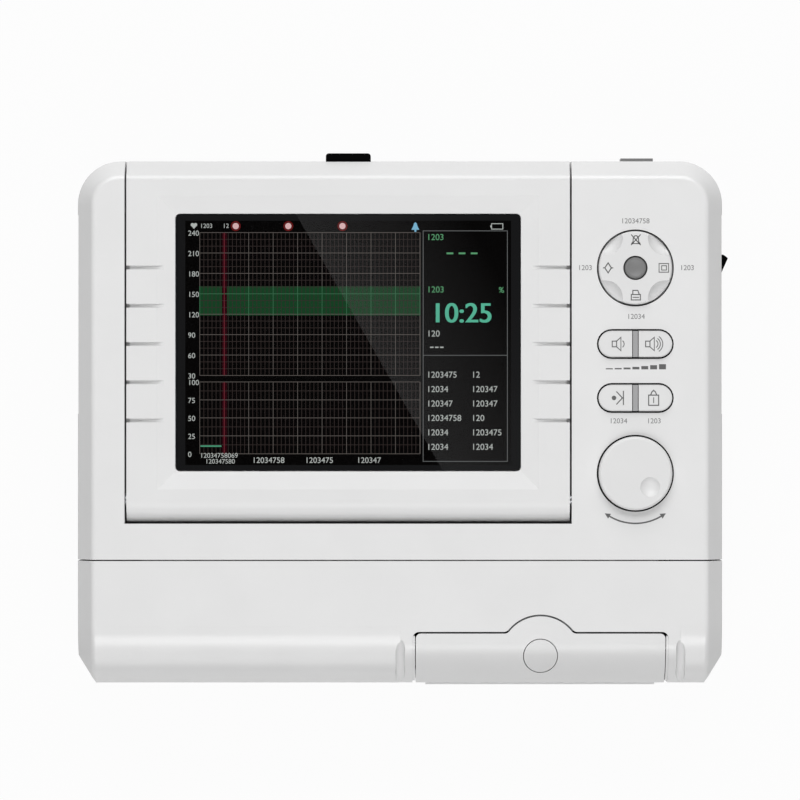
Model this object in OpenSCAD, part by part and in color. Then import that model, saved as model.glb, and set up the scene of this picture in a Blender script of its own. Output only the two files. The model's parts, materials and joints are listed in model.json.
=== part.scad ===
// Cardiotocograph: a desk monitor with a fold-up screen, a keypad column and a strip printer.
// The table is z = 0, the front faces -Y and the origin is under the middle of the case.

/* [Case] */
// Width of the case across its side faces
case_w = 298.4; // [292:0.2:320]
// Depth of the case from the front face to the rear face
case_d = 241.6; // [236:0.2:260]
// Height of the top face above the table
case_top = 82; // [81:0.5:92]
// Height of the rubber feet
foot_h = 4; // [3:0.5:5]
// Diameter of the rubber feet
foot_d = 14; // [10:1:18]
// Wall thickness of the mouldings
wall = 2.5; // [2:0.1:2.8]
// Width in plan of the slope round the top face
slope_w = 7.2; // [6:0.1:9]
// Depth of that slope
slope_h = 10.5; // [9:0.5:12]
// Width of the cut across each front corner
corner_cut_w = 8.2; // [6:0.1:10]
// Depth of that cut
corner_cut_d = 13; // [10:0.5:15]
// Radius of the rear corners seen from above
corner_r = 20; // [16:1:24]
// Radius of the rolled front edge
roll_r = 30; // [28:1:36]
// Angle at which the roll runs into the front face
roll_angle = 62; // [56:1:66]
// Radius that softens both edges of the slope
edge_r = 3; // [1:0.5:4]
// Height of the joint between the base tray and the covers
split_z = 30; // [28:1:32]
// Distance of the seam between the covers behind the front face
seam_back = 57; // [55:0.1:60]
// Width of the open joint line between the covers
joint_gap = 0.6; // [0.4:0.1:0.8]

/* [Screen panel] */
// Distance of the screen panel's hinge edge behind the front face
screen_back_from = 74.8; // [73:0.1:78]
// Thickness of the screen panel
screen_t = 20; // [19:0.5:21]
// Distance of the screen panel from the left side face
screen_from_side = 22.9; // [20:0.1:26]
// Width of the strip with the keys, to the right of the screen panel
key_strip_w = 70.8; // [68:0.1:76]
// Gap round the screen panel
screen_gap = 0.9; // [0.6:0.1:1.2]
// Width of the frame to the left and right of the glass
frame_side = 22.7; // [22:0.1:25]
// Width of the frame at the hinge edge
frame_front_w = 23.45; // [22:0.05:26]
// Width of the frame at the rear edge
frame_rear_w = 24.65; // [23:0.05:27]
// Thickness of the glass
glass_t = 2; // [1.5:0.1:2.2]
// Depth of the dished frame round the glass
dish_depth = 1.5; // [0.8:0.1:1.8]
// Width of the dished frame beyond the glass
dish_margin = 8.5; // [6:0.1:9]
// Black border to the left and right of the lit area
border_side = 5.3; // [5:0.1:8]
// Black border in front of and behind the lit area
border_end = 3.05; // [3:0.05:5]
// Number of finger grooves on each side of the screen panel
groove_count = 5; // [3:1:6]
// Distance between the finger grooves
groove_pitch = 17.65; // [15:0.05:18]
// Length of a finger groove
groove_len = 21.5; // [15:0.5:22]
// Width of a finger groove
groove_w = 1.8; // [1.4:0.1:2.2]
// Depth of a finger groove at the edge of the panel
groove_depth = 1.6; // [1:0.1:1.6]
// Diameter of the hinge pins
hinge_pin_d = 6; // [5:0.5:7]
// Angle to which the screen panel folds up
screen_open = 60; // [30:5:75]
// Width of the release latch
latch_w = 20.8; // [16:0.1:24]
// Distance that the latch stands out behind the case
latch_out = 3.7; // [3:0.1:4.5]
// Travel of the latch
latch_travel = 2; // [1:0.1:2.5]

/* [Keypad] */
// Distance of the key column from the right side face
keys_from_side = 40.6; // [40:0.1:44]
// Distance of the four-way pad forward from the rear face
pad_from_rear = 49.6; // [48:0.1:52]
// Distance of the volume keys forward from the rear face
volume_from_rear = 84.7; // [83:0.1:86]
// Distance of the event and lock keys forward from the rear face
event_from_rear = 109.6; // [108:0.1:112]
// Distance of the knob forward from the rear face
knob_from_rear = 144.4; // [142:0.1:148]
// Radius of the four-way pad
pad_r = 16.9; // [16:0.1:18]
// Radius of the centre button
button_r = 5; // [4:0.1:5.5]
// Length of a pair of keys
pill_l = 33.9; // [32:0.1:36]
// Width of a pair of keys
pill_w = 12.2; // [11:0.1:13]
// Width of the grey divider between two keys
divider_w = 2.3; // [1.8:0.1:2.6]
// Gap round the keys
key_gap = 0.5; // [0.3:0.05:0.7]
// Height of the keys above the top face
key_proud = 1.7; // [1:0.1:2.2]
// Travel of the keys
key_travel = 0.8; // [0.4:0.1:0.8]
// Radius of the knob
knob_r = 17; // [15:0.1:18]
// Height of the knob above the top face
knob_proud = 5; // [4.5:0.1:7]
// Diameter of the encoder shaft
encoder_shaft_d = 6; // [5:0.5:6]

/* [Printer] */
// Width of the printer door
door_w = 115.2; // [115:0.1:117]
// Distance of the middle of the door from the right side face
door_from_side = 84.3; // [84:0.1:86]
// Depth of the door's top edge behind the front face
door_reach = 23.2; // [23:0.1:25]
// Gap along the top edge of the printer door
door_gap = 0.8; // [0.5:0.1:1]
// Gap on each side of the printer door
door_side_gap = 1.5; // [1.2:0.1:2]
// Radius of the raised arch of the door round its button
arch_r = 18.4; // [17:0.1:19]
// Radius of the door button
door_button_r = 7.7; // [7:0.1:8]
// Distance of the door button behind the front face
door_button_back = 12.8; // [12.5:0.1:14]
// Travel of the door button
door_button_travel = 1.5; // [1:0.1:1.8]
// Angle to which the printer door opens
door_open = 80; // [60:5:80]
// Height of the door's lower edge above the table
door_low = 13; // [12.5:0.5:14]
// Width of the chart paper
paper_w = 112; // [110:0.5:112]
// Depth of the folded pack of chart paper
paper_d = 88; // [80:1:90]
// Radius of the platen roller
platen_r = 6; // [5.5:0.1:6]
// Teeth of the platen gear
platen_teeth = 16; // [14:1:18]
// Teeth of the idler gear
idler_teeth = 24; // [22:1:26]
// Teeth of the motor pinion
pinion_teeth = 10; // [9:1:12]

/* [Sides and base] */
// Length of the socket panels in the side walls
panel_l = 92.2; // [90:0.1:94]
// Height of the socket panels
panel_h = 52; // [48:0.5:52]
// Depth of the socket panels below the side face
panel_in = 0.7; // [0.4:0.1:1]
// Distance of the middle of the socket panels forward from the rear face
panel_from_rear = 70.9; // [70:0.1:73]
// Outer diameter of a probe socket
socket_d = 20; // [18:0.5:22]
// Bore of a probe socket
socket_bore_d = 13; // [11:0.5:14]
// Bore of the marker jack
jack_bore_d = 6.4; // [6:0.1:6.6]
// Half length of the power rocker
rocker_half = 12; // [10:0.1:12.5]
// Height of the power rocker
rocker_h = 12.6; // [11:0.1:14]
// Angle through which the power rocker swings
rocker_swing = 24; // [18:1:24]
// Distance of the middle of the power rocker forward from the rear face
rocker_from_rear = 53.9; // [53:0.1:58]
// Spacing of the bracket holes under the base
bracket_spacing = 100; // [90:5:100]
// Diameter of the bracket holes
bracket_hole_d = 4; // [3:0.5:5]

/* [Hidden] */
$fn = 72;
EPS = 0.01;
fit = 0.05;
seat = 0.3;

side_x = case_w / 2;
front_y = -case_d / 2;
rear_y = case_d / 2;
roll_y = front_y + roll_r * sin(roll_angle);
seam_y = front_y + seam_back;
slope_angle = atan(slope_h / slope_w);
floor_t = wall;
floor_z = foot_h + floor_t;
skin_z = case_top - wall;

screen_x0 = -side_x + screen_from_side;
screen_x1 = side_x - key_strip_w;
screen_w = screen_x1 - screen_x0;
screen_cx = screen_x0 + screen_w / 2;
screen_front = front_y + screen_back_from;
hinge_y = screen_front + screen_t / 2;
hinge_z = case_top - screen_t / 2;
screen_low = case_top - screen_t;
recess_floor = screen_low - 1;
tub_t = 2;
glass_cx = screen_cx;
glass_front = screen_front + frame_front_w;
glass_rear = rear_y - frame_rear_w;
glass_cy = (glass_front + glass_rear) / 2;
glass_w = screen_w - 2 * frame_side;
glass_d = glass_rear - glass_front;
display_w = glass_w - 2 * border_side;
display_d = glass_d - 2 * border_end;
glass_corner = 2.3;
glass_top = case_top - dish_depth;
glass_seat = glass_top - glass_t;
frame_low = glass_seat - 2;
lcd_t = 8;
lcd_margin = 6;
board_t = 1.6;
screen_wall = 2.2;
groove_mid = glass_cy - 0.7;
notch_w = 1.4;
notch_depth = 4;
screen_screw_inset = 13;
latch_h = 7;
latch_z = screen_low + 2.4;
tongue_w = 11;
tongue_t = 2;
tongue_back = 10.5;
pin_in = 9;
pin_out = 8;

key_x = side_x - keys_from_side;
pad_y = rear_y - pad_from_rear;
volume_y = rear_y - volume_from_rear;
event_y = rear_y - event_from_rear;
knob_y = rear_y - knob_from_rear;
keypad_board_z = skin_z - 7.5;
keypad_board_top = keypad_board_z + board_t;
mat_top = keypad_board_top + 2.2;
key_foot = mat_top + key_travel + 0.2;
key_top = case_top + key_proud;
lip_t = 1.2;
keypad_w = 42;
keypad_front = knob_y - 20;
keypad_rear = pad_y + 24;
keypad_screw_r = 1.25;

door_cx = side_x - door_from_side;
door_x0 = door_cx - door_w / 2;
door_x1 = door_cx + door_w / 2;
door_top_y = front_y + door_reach;
door_button_y = front_y + door_button_back;
flank_w = 7.1;
block_x0 = door_x0 - flank_w;
block_x1 = door_x1 + flank_w;
block_flat = 19.1;
block_bend_r = 10;
block_bend = 35;
valley_r = 2.2;
valley_start = 14;
door_t = 2.5;
door_proud = 0.9;
door_band_in = 4.5;
ledge_drop = 0.9;
ledge_t = 1.6;
ledge_clear = 0.4;
pivot_in = 4;
pivot_y = front_y + pivot_in;
pivot_z = door_low + pivot_in;
pivot_pin_d = 4;
platen_y = front_y + 22.5;
platen_z = case_top - 26;
platen_half = 52.5;
platen_shaft_d = 4;
gear_module = 1;
gear_x = door_cx + platen_half + 3.1;
gear_t = 2;
mesh_angle = -17;
drive_angle = -37;
frame_front = front_y + 17.5;
frame_rear = frame_front + paper_d + 4;
frame_low_z = foot_h + 10;
frame_high_z = case_top - 32;
frame_t = 1.5;

panel_y = rear_y - panel_from_rear;
panel_z = 14 + panel_h / 2;
panel_t = wall - panel_in;
flange = 1.4;
relief = 0.3;

screw_x = side_x - 15;
screw_rows = [front_y + 30, seam_y + 44, rear_y - 21.5];
screw_r = 1.75;
screw_head_r = 3.3;
screw_head_z = 16;

frame_half = paper_w / 2 + 1;
battery_x0 = 40 - side_x;
battery_x1 = door_cx - frame_half - frame_t - 7.7;
battery_y0 = front_y + 13;
battery_y1 = -bracket_spacing / 2 - 13.8;
battery_w = battery_x1 - battery_x0;
battery_d = battery_y1 - battery_y0;
battery_h = 22;
battery_x = (battery_x0 + battery_x1) / 2;
battery_y = (battery_y0 + battery_y1) / 2;

white = [0.89, 0.89, 0.89];
soft_white = [0.92, 0.92, 0.92];
key_white = [0.93, 0.93, 0.93];
grey = [0.52, 0.52, 0.52];
mid_grey = [0.66, 0.66, 0.66];
dark = [0.12, 0.12, 0.13];
steel = [0.7, 0.71, 0.73];
brass = [0.78, 0.62, 0.3];
board_green = [0.06, 0.35, 0.2];

// Points of the section from the side face, up the slope and onto the top face: [inwards, down].
// With steps above zero both edges of the slope are rounded.
function slope_points(steps) =
    let (
        steep = 90 - slope_angle,
        low_run = edge_r * tan(steep / 2),
        high_run = edge_r * tan(slope_angle / 2))
    steps == 0
        ? [[0, slope_h], [slope_w, 0]]
        : concat(
            [for (i = [0:steps])
                let (a = steep * i / steps)
                [edge_r * (1 - cos(a)), slope_h + low_run - edge_r * sin(a)]],
            [for (i = [steps:-1:0])
                let (a = slope_angle * i / steps)
                [slope_w + high_run - edge_r * sin(a), edge_r * (1 - cos(a))]]);

function reversed(list) = [for (i = [len(list) - 1:-1:0]) list[i]];

// A shape drawn about Z is laid along X, with its own X axis up and its own Y axis forward.
module along_x() {
    rotate([180, 0, 0]) rotate([0, 90, 0]) children();
}

// A profile drawn in Y and Z is extruded along X from x0 to x1.
module profile_along_x(x0, x1) {
    translate([x0, 0, 0]) rotate([90, 0, 90]) linear_extrude(x1 - x0) children();
}

// A box given by its two corners.
module span(low, high) {
    translate(low) cube(high - low);
}

// A box with its four upright edges rounded, centred in plan.
module rounded_plate(w, d, h, r) {
    linear_extrude(h) rounded_outline(w, d, r);
}

module rounded_outline(w, d, r) {
    square([w - 2 * r, d], center = true);
    square([w, d - 2 * r], center = true);
    for (x = [-1, 1], y = [-1, 1]) {
        translate([x * (w / 2 - r), y * (d / 2 - r)]) circle(r);
    }
}

// A plate with fully round ends, centred in plan.
module pill(l, w, h) {
    linear_extrude(h) pill_outline(l, w);
}

module pill_outline(l, w) {
    square([l - w, w], center = true);
    for (x = [-1, 1]) {
        translate([x * (l - w) / 2, 0]) circle(w / 2);
    }
}

// The whole outer form of the case, or the same form drawn in by inset.
module case_form(inset, low, steps) {
    half = side_x - inset;
    top = case_top - inset;
    rear = rear_y - inset;
    corner = corner_r - inset;
    roll = roll_r - inset;
    slope = slope_points(steps);
    far = 80;
    intersection() {
        front_clip(inset, low, top + 1);
        union() {
            translate([0, rear - corner, 0]) rotate([90, 0, 0])
                linear_extrude(rear - corner - roll_y)
                polygon(concat(
                    [[half, low]],
                    [for (p = slope) [half - p[0], top - p[1]]],
                    [for (p = reversed(slope)) [p[0] - half, top - p[1]]],
                    [[-half, low]]));
            profile_along_x(corner - half, half - corner)
                polygon(concat(
                    [[rear - corner - 1, low], [rear, low]],
                    [for (p = slope) [rear - p[0], top - p[1]]],
                    [[rear - corner - 1, top]]));
            for (side = [-1, 1]) {
                translate([side * (half - corner), rear - corner, 0])
                    rotate_extrude()
                    polygon(concat(
                        [[0, low], [corner, low]],
                        [for (p = slope) [corner - p[0], top - p[1]]],
                        [[0, top]]));
            }
            translate([0, roll_y, case_top - roll_r]) along_x() {
                rotate_extrude(angle = roll_angle)
                    roll_section(half, roll, 0, slope);
                rotate([0, 0, roll_angle]) translate([0, far, 0]) rotate([90, 0, 0])
                    linear_extrude(far)
                    roll_section(half, roll, -far, slope);
            }
        }
    }
}

// Half sections of the rolled front: radius against the distance from the middle.
module roll_section(half, roll, inner, slope) {
    polygon(concat(
        [[inner, half]],
        [for (p = slope) [roll - p[1], half - p[0]]],
        [for (p = reversed(slope)) [roll - p[1], p[0] - half]],
        [[inner, -half]]));
}

// The front face and its two cut corners, with plenty of room behind.
module front_clip(inset, low, high) {
    half = side_x - inset;
    face = front_y + inset;
    wide = 60;
    rise = wide * corner_cut_d / corner_cut_w;
    translate([0, 0, low]) linear_extrude(high - low)
        polygon([
            [-half - wide, rear_y + 10],
            [half + wide, rear_y + 10],
            [half + wide, face + corner_cut_d + rise],
            [half - corner_cut_w, face],
            [corner_cut_w - half, face],
            [-half - wide, face + corner_cut_d + rise]]);
}

// The printer block keeps its flat top further forward and then bends down more quickly.
function block_points(inset) =
    let (
        r1 = block_bend_r,
        r2 = (block_flat - r1 * sin(block_bend)) / (sin(roll_angle) - sin(block_bend)),
        y1 = front_y + block_flat,
        c2 = [y1 + (r2 - r1) * sin(block_bend), case_top - r1 - (r2 - r1) * cos(block_bend)])
    concat(
        [for (i = [0:6]) let (a = block_bend * i / 6)
            [y1 - (r1 - inset) * sin(a), case_top - r1 + (r1 - inset) * cos(a)]],
        [for (i = [1:16]) let (a = block_bend + (roll_angle - block_bend) * i / 16)
            [c2[0] - (r2 - inset) * sin(a), c2[1] + (r2 - inset) * cos(a)]]);

module block_profile(inset, back, low) {
    polygon(concat(
        [[back, case_top - inset]],
        [for (p = block_points(inset)) [max(p[0], front_y + inset), p[1]]],
        [[front_y + inset, low], [back, low]]));
}

// Covers of the case, before they are parted: the form with the printer block worked in.
module cover_form(inset, low, steps) {
    difference() {
        case_form(inset, low, steps);
        span([block_x0 + inset, front_y - 5, low - 1], [block_x1 - inset, roll_y + 1, case_top + 5]);
    }
    profile_along_x(block_x0 + inset, block_x1 - inset)
        block_profile(inset, roll_y + 1, low);
}

// The scooped valleys on both sides of the printer block. Each is a straight round cutter laid across
// the roll, so that it starts faintly, is deepest near the front and ends at the front face.
module block_valleys(r) {
    start = roll_point(valley_start);
    end = roll_point(roll_angle);
    fall = atan2(start[1] - end[1], start[0] - end[0]);
    for (x = [block_x0 - 0.1, block_x1 + 0.1]) {
        translate([x, end[0], end[1]]) rotate([fall, 0, 0]) translate([0, 0, valley_r])
            rotate([90, 0, 0]) cylinder(h = 4 * roll_r, r = r, center = true);
    }
}

// A point of the rolled front, at an angle from the top face: [Y, Z].
function roll_point(angle) = [roll_y - roll_r * sin(angle), case_top - roll_r * (1 - cos(angle))];

// Outline of the printer door seen from above.
module door_outline(grow, side_grow) {
    offset(r = -3) offset(r = 3) {
        translate([door_cx, front_y + door_reach / 2 - 10])
            offset(r = grow)
            rounded_outline(door_w + 2 * (side_grow - grow), door_reach + 20, 2.3);
        translate([door_cx, door_button_y]) circle(arch_r + grow, $fn = 120);
    }
}

module door_prism(grow, side_grow, low, high) {
    translate([0, 0, low]) linear_extrude(high - low) door_outline(grow, side_grow);
}

// Places of the case screws; each row has one on each side.
module at_case_screws() {
    for (x = [-screw_x, screw_x], y = screw_rows) {
        translate([x, y, 0]) children();
    }
}

module top_cover() {
    color(white) difference() {
        intersection() {
            cover_form(0, split_z, 6);
            span([-side_x - 1, seam_y + joint_gap / 2, split_z], [side_x + 1, rear_y + 1, case_top + 1]);
        }
        difference() {
            case_form(wall, split_z - 1, 0);
            screen_tub();
            at_case_screws() cylinder(h = case_top, r = 4.5);
            at_keypad_screws() translate([0, 0, keypad_board_top]) cylinder(h = 20, r = 3.4);
        }
        screen_recess();
        hinge_bores();
        at_case_screws() cylinder(h = split_z + 16, r = screw_r);
        at_keypad_screws() cylinder(h = skin_z - 0.8, r = keypad_screw_r);
        key_holes();
        side_panel_holes();
        side_relief();
        network_port_hole(0.2);
    }
}

// The tub under the screen panel is part of the top cover.
module screen_tub() {
    span(
        [screen_x0 - screen_gap - tub_t, screen_front - screen_gap - tub_t, recess_floor - tub_t],
        [screen_x1 + screen_gap + tub_t, rear_y + 5, case_top + 5]);
    for (x = [screen_x0 - screen_gap - tub_t - 4, screen_x1 + screen_gap]) {
        translate([x, hinge_y, hinge_z]) rotate([0, 90, 0]) cylinder(h = tub_t + 4, r = 6);
    }
}

module screen_recess() {
    span(
        [screen_x0 - screen_gap, screen_front - screen_gap, recess_floor],
        [screen_x1 + screen_gap, rear_y + 5, case_top + 5]);
    span([screen_cx - tongue_w / 2 - 1, rear_y - tongue_back - latch_travel - 0.6, recess_floor - 5],
        [screen_cx + tongue_w / 2 + 1, rear_y - tongue_back + tongue_t + 0.6, recess_floor + 1]);
}

module hinge_bores() {
    translate([screen_x0 - 12, hinge_y, hinge_z]) rotate([0, 90, 0])
        cylinder(h = screen_w + 24, r = hinge_pin_d / 2 + fit);
}

module key_holes() {
    translate([key_x, pad_y, skin_z - 1]) cylinder(h = 10, r = pad_r + 0.7);
    translate([key_x, knob_y, skin_z - 1]) cylinder(h = 10, r = knob_r + 0.6);
    for (y = [volume_y, event_y]) {
        translate([key_x, y, skin_z - 1]) pill(pill_l + 2 * key_gap, pill_w + 2 * key_gap, 10);
    }
}

module side_panel_holes() {
    for (side = [-1, 1]) {
        span(
            [side * (side_x - wall / 2) - wall, panel_y - panel_l / 2, panel_z - panel_h / 2],
            [side * (side_x - wall / 2) + wall, panel_y + panel_l / 2, panel_z + panel_h / 2]);
    }
}

// The side walls step in slightly over the length of the socket panels.
module side_relief() {
    for (side = [-1, 1]) {
        span(
            [side * (side_x + 2) - 2 - relief, panel_y - panel_l / 2, panel_z - panel_h / 2],
            [side * (side_x + 2) + 2 + relief, panel_y + panel_l / 2, case_top - slope_h + 2]);
    }
}

module front_cover() {
    plate_x0 = door_x0 - door_side_gap - wall;
    plate_x1 = door_x1 + door_side_gap;
    color(white) difference() {
        union() {
            intersection() {
                cover_form(0, split_z, 6);
                span([-side_x - 1, front_y - 1, split_z], [side_x + 1, seam_y - joint_gap / 2, case_top + 1]);
            }
            seam_lip();
        }
        difference() {
            cover_form(wall, split_z - 1, 0);
            at_case_screws() cylinder(h = case_top, r = 4.5);
            span([plate_x0, front_y, 0], [plate_x0 + wall, front_y + 14, case_top]);
            span([plate_x1, front_y, 0], [plate_x1 + wall, front_y + 14, case_top]);
            seam_lip();
            block_valleys(valley_r + wall);
        }
        block_valleys(valley_r);
        at_case_screws() cylinder(h = split_z + 16, r = screw_r);
        door_prism(door_gap, door_side_gap, split_z - 1, case_top + 5);
    }
    color(white) door_ledge(door_x0 - door_side_gap - 1, door_x0 - ledge_clear);
    color(white) door_ledge(door_x1 + ledge_clear, door_x1 + door_side_gap + 1);
}

// A narrow ledge of the front cover closes most of the gap beside the door, a little below its surface.
module door_ledge(x0, x1) {
    intersection() {
        profile_along_x(x0, x1) difference() {
            block_profile(ledge_drop, door_top_y - 1, split_z);
            block_profile(ledge_drop + ledge_t, roll_y, split_z - 1);
        }
        span([x0 - 0.3, front_y, split_z], [x1 + 0.3, door_top_y - 1, case_top]);
    }
}

// A thin lip on the front cover reaches under the edge of the top cover.
module seam_lip() {
    span([-side_x + 30, seam_y - 6, skin_z - 1.5], [side_x - 30, seam_y + 4, skin_z]);
}

module base_tray() {
    color(white) difference() {
        intersection() {
            cover_form(0, foot_h, 6);
            span([-side_x - 1, front_y - 1, foot_h], [side_x + 1, rear_y + 1, split_z]);
        }
        difference() {
            cover_form(wall, floor_z, 0);
            at_case_screws() cylinder(h = split_z, r = 5.5);
            at_brackets() cylinder(h = floor_z + 6, r = 5);
            at_main_board_posts() cylinder(h = main_board_z, r = 3.5);
            for (x = [door_x0 - door_side_gap - wall, door_x1 + door_side_gap]) {
                span([x, front_y, 0], [x + wall, front_y + 12, split_z]);
            }
            for (x = [-40, 40], y = [frame_front + 12, frame_rear - 12]) {
                translate([door_cx + x, y, 0]) cylinder(h = frame_low_z, r = 4);
            }
            for (y = [-15, 15]) {
                translate([power_x, panel_y + y - 8, 0]) cylinder(h = power_board_z, r = 4);
            }
            battery_rim();
        }
        at_case_screws() {
            cylinder(h = screw_head_z, r = screw_head_r + 0.4);
            cylinder(h = split_z + 1, r = screw_r + 0.3);
        }
        at_brackets() cylinder(h = floor_z + 5, r = bracket_hole_d / 2 + 1.5);
        span(
            [door_x0 - door_side_gap, front_y - 5, door_low - 2.2],
            [door_x1 + door_side_gap, front_y + wall + 1, split_z + 1]);
        translate([door_x0 - 5, pivot_y, pivot_z]) rotate([0, 90, 0])
            cylinder(h = door_w + 10, r = pivot_pin_d / 2);
        side_panel_holes();
        side_relief();
        translate([battery_x, battery_y, foot_h - 1])
            rounded_plate(battery_w + 6, battery_d + 6, 3, 4);
        translate([battery_x, battery_y, foot_h - 1])
            rounded_plate(battery_w + 2, battery_d + 2, 10, 2);
        at_battery_screws() cylinder(h = 14, r = screw_r);
        at_feet() cylinder(h = 20, r = 2.5);
        speaker_slots();
    }
}

module at_feet() {
    for (x = [-1, 1], y = [-1, 1]) {
        translate([x * (side_x - 26), y * (case_d / 2 - 26), 0]) children();
    }
}

module at_brackets() {
    for (x = [-1, 1], y = [-1, 1]) {
        translate([x * bracket_spacing / 2, y * bracket_spacing / 2, 0]) children();
    }
}

module rubber_feet() {
    color(dark) at_feet() {
        cylinder(h = foot_h, r = foot_d / 2);
        cylinder(h = floor_z, r = 2.5);
        translate([0, 0, floor_z]) cylinder(h = 1.5, r1 = 3.2, r2 = 2);
    }
}

module case_screws() {
    color(steel) at_case_screws() difference() {
        union() {
            translate([0, 0, screw_head_z - 2.4]) cylinder(h = 2.4, r = screw_head_r);
            cylinder_between(screw_head_z, split_z + 14, screw_r);
        }
        translate([0, 0, screw_head_z - 3]) cylinder(h = 2, r = 1.4);
    }
}

module cylinder_between(z0, z1, r) {
    translate([0, 0, z0]) cylinder(h = z1 - z0, r = r);
}

module bracket_inserts() {
    color(brass) at_brackets() difference() {
        cylinder_between(foot_h, floor_z + 5, bracket_hole_d / 2 + 1.5);
        cylinder_between(foot_h - 1, floor_z + 6, bracket_hole_d / 2);
    }
}

// Battery bay, door and pack under the base.
module battery_rim() {
    translate([battery_x, battery_y, 0]) rounded_plate(battery_w + 8, battery_d + 8, floor_z + 4, 4);
    at_battery_screws() cylinder(h = 14, r = 4);
}

module at_battery_screws() {
    for (x = [-1, 1]) {
        translate([battery_x + x * (battery_w / 2 + 4.8), battery_y, 0]) children();
    }
}

module battery_door() {
    color(white) difference() {
        union() {
            translate([battery_x, battery_y, foot_h + 0.1])
                rounded_plate(battery_w + 5.4, battery_d + 5.4, 1.8, 4);
            translate([battery_x, battery_y, foot_h + 1.9])
                rounded_plate(battery_w + 1.2, battery_d + 1.2, 1.1, 2);
        }
        for (i = [-3:3]) {
            translate([battery_x + i * 5, battery_y - battery_d / 2 + 6, foot_h])
                pill_rib();
        }
    }
}

module pill_rib() {
    rotate([0, 0, 90]) pill(8, 1.6, 0.8);
}

module battery_door_screws() {
    color(steel) at_battery_screws() {
        cylinder_between(foot_h - 1.6, foot_h, 3);
        cylinder_between(foot_h, 12, screw_r);
    }
}

module battery_pack() {
    color([0.16, 0.2, 0.3]) translate([battery_x, battery_y, foot_h + 3.1])
        rounded_plate(battery_w, battery_d, battery_h, 3);
}

// Side panels, sockets and switch.
module side_panel(side) {
    inner = side_x - wall;
    span(
        [side > 0 ? inner : -side_x + panel_in, panel_y - panel_l / 2 + 0.2, panel_z - panel_h / 2 + 0.2],
        [side > 0 ? side_x - panel_in : -inner, panel_y + panel_l / 2 - 0.2, panel_z + panel_h / 2 - 0.2]);
    span(
        [side > 0 ? inner - 1.5 : -inner, panel_y - panel_l / 2 - flange, panel_z - panel_h / 2 - flange],
        [side > 0 ? inner : -inner + 1.5, panel_y + panel_l / 2 + flange, panel_z + panel_h / 2 + flange]);
}

socket_z = 42;
function probe_y(i) = panel_y - 33 + i * 23;

// A shape drawn about Z is turned to stand out of the left or right side face.
module on_side(side, y, z) {
    translate([side * (side_x - panel_in), y, z]) rotate([0, side * 90, 0]) children();
}

module left_socket_panel() {
    color(mid_grey) difference() {
        side_panel(-1);
        for (i = [0:2]) {
            on_side(-1, probe_y(i), socket_z) translate([0, 0, -10]) cylinder(h = 20, r = socket_d / 2 - 1 + fit);
        }
        on_side(-1, probe_y(3), socket_z) translate([0, 0, -10]) cylinder(h = 20, r = 5 + fit);
    }
}

// A round probe socket: a flange outside, a barrel inside and a contact block with holes.
module probe_socket(i) {
    on_side(-1, probe_y(i), socket_z) difference() {
        union() {
            cylinder(h = 0.6, r = socket_d / 2 + 1);
            translate([0, 0, -18]) cylinder(h = 18, r = socket_d / 2 - 1);
        }
        translate([0, 0, -14]) cylinder(h = 16, r = socket_bore_d / 2);
        for (a = [0:60:300]) {
            rotate([0, 0, a]) translate([3.6, 0, -17]) cylinder(h = 6, r = 0.8);
        }
        translate([-1.2, socket_bore_d / 2 - 1, -14]) cube([2.4, 2, 16]);
    }
}

module ultrasound_sockets() {
    color(dark) {
        probe_socket(0);
        probe_socket(1);
    }
}

module contraction_socket() {
    color(grey) probe_socket(2);
}

module marker_socket() {
    color(dark) on_side(-1, probe_y(3), socket_z) difference() {
        union() {
            cylinder(h = 0.6, r = 6.5);
            translate([0, 0, -18]) cylinder(h = 18, r = 5);
        }
        translate([0, 0, -16]) cylinder(h = 18, r = jack_bore_d / 2);
    }
}

rocker_y = rear_y - rocker_from_rear;
rocker_z = 42;
rocker_in = 4.9;
rocker_axis_x = side_x - rocker_in;
rocker_r = norm([rocker_half, rocker_in]);
inlet_y = panel_y - 20;
inlet_w = 27;
inlet_h = 20;

module right_switch_panel() {
    color(mid_grey) difference() {
        side_panel(1);
        span([side_x - 10, rocker_y - rocker_half - 2.4, rocker_z - rocker_h / 2 - 2.4],
            [side_x + 5, rocker_y + rocker_half + 2.4, rocker_z + rocker_h / 2 + 2.4]);
        span([side_x - 10, inlet_y - inlet_w / 2 - 1.5, rocker_z - inlet_h / 2 - 1.5],
            [side_x + 5, inlet_y + inlet_w / 2 + 1.5, rocker_z + inlet_h / 2 + 1.5]);
    }
}

// The switch housing: a flange that stands a little proud, and an open box that the rocker swings in.
module switch_body() {
    gap = 0.4;
    color(dark) difference() {
        union() {
            span([side_x - panel_in, rocker_y - rocker_half - 3.4, rocker_z - rocker_h / 2 - 3.4],
                [side_x, rocker_y + rocker_half + 3.4, rocker_z + rocker_h / 2 + 3.4]);
            span([side_x - 20, rocker_y - rocker_half - 2.2, rocker_z - rocker_h / 2 - 2.2],
                [side_x - panel_in, rocker_y + rocker_half + 2.2, rocker_z + rocker_h / 2 + 2.2]);
        }
        span([side_x - 17.5, rocker_y - rocker_half - gap, rocker_z - rocker_h / 2 - gap],
            [side_x + 1, rocker_y + rocker_half + gap, rocker_z + rocker_h / 2 + gap]);
        translate([rocker_axis_x, rocker_y, rocker_z - rocker_h / 2 - gap])
            cylinder(h = rocker_h + 2 * gap, r = rocker_r + gap);
        translate([rocker_axis_x, rocker_y, rocker_z - rocker_h / 2 - 1.6])
            cylinder(h = rocker_h + 3.2, r = 1.5 + fit);
    }
}

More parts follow.
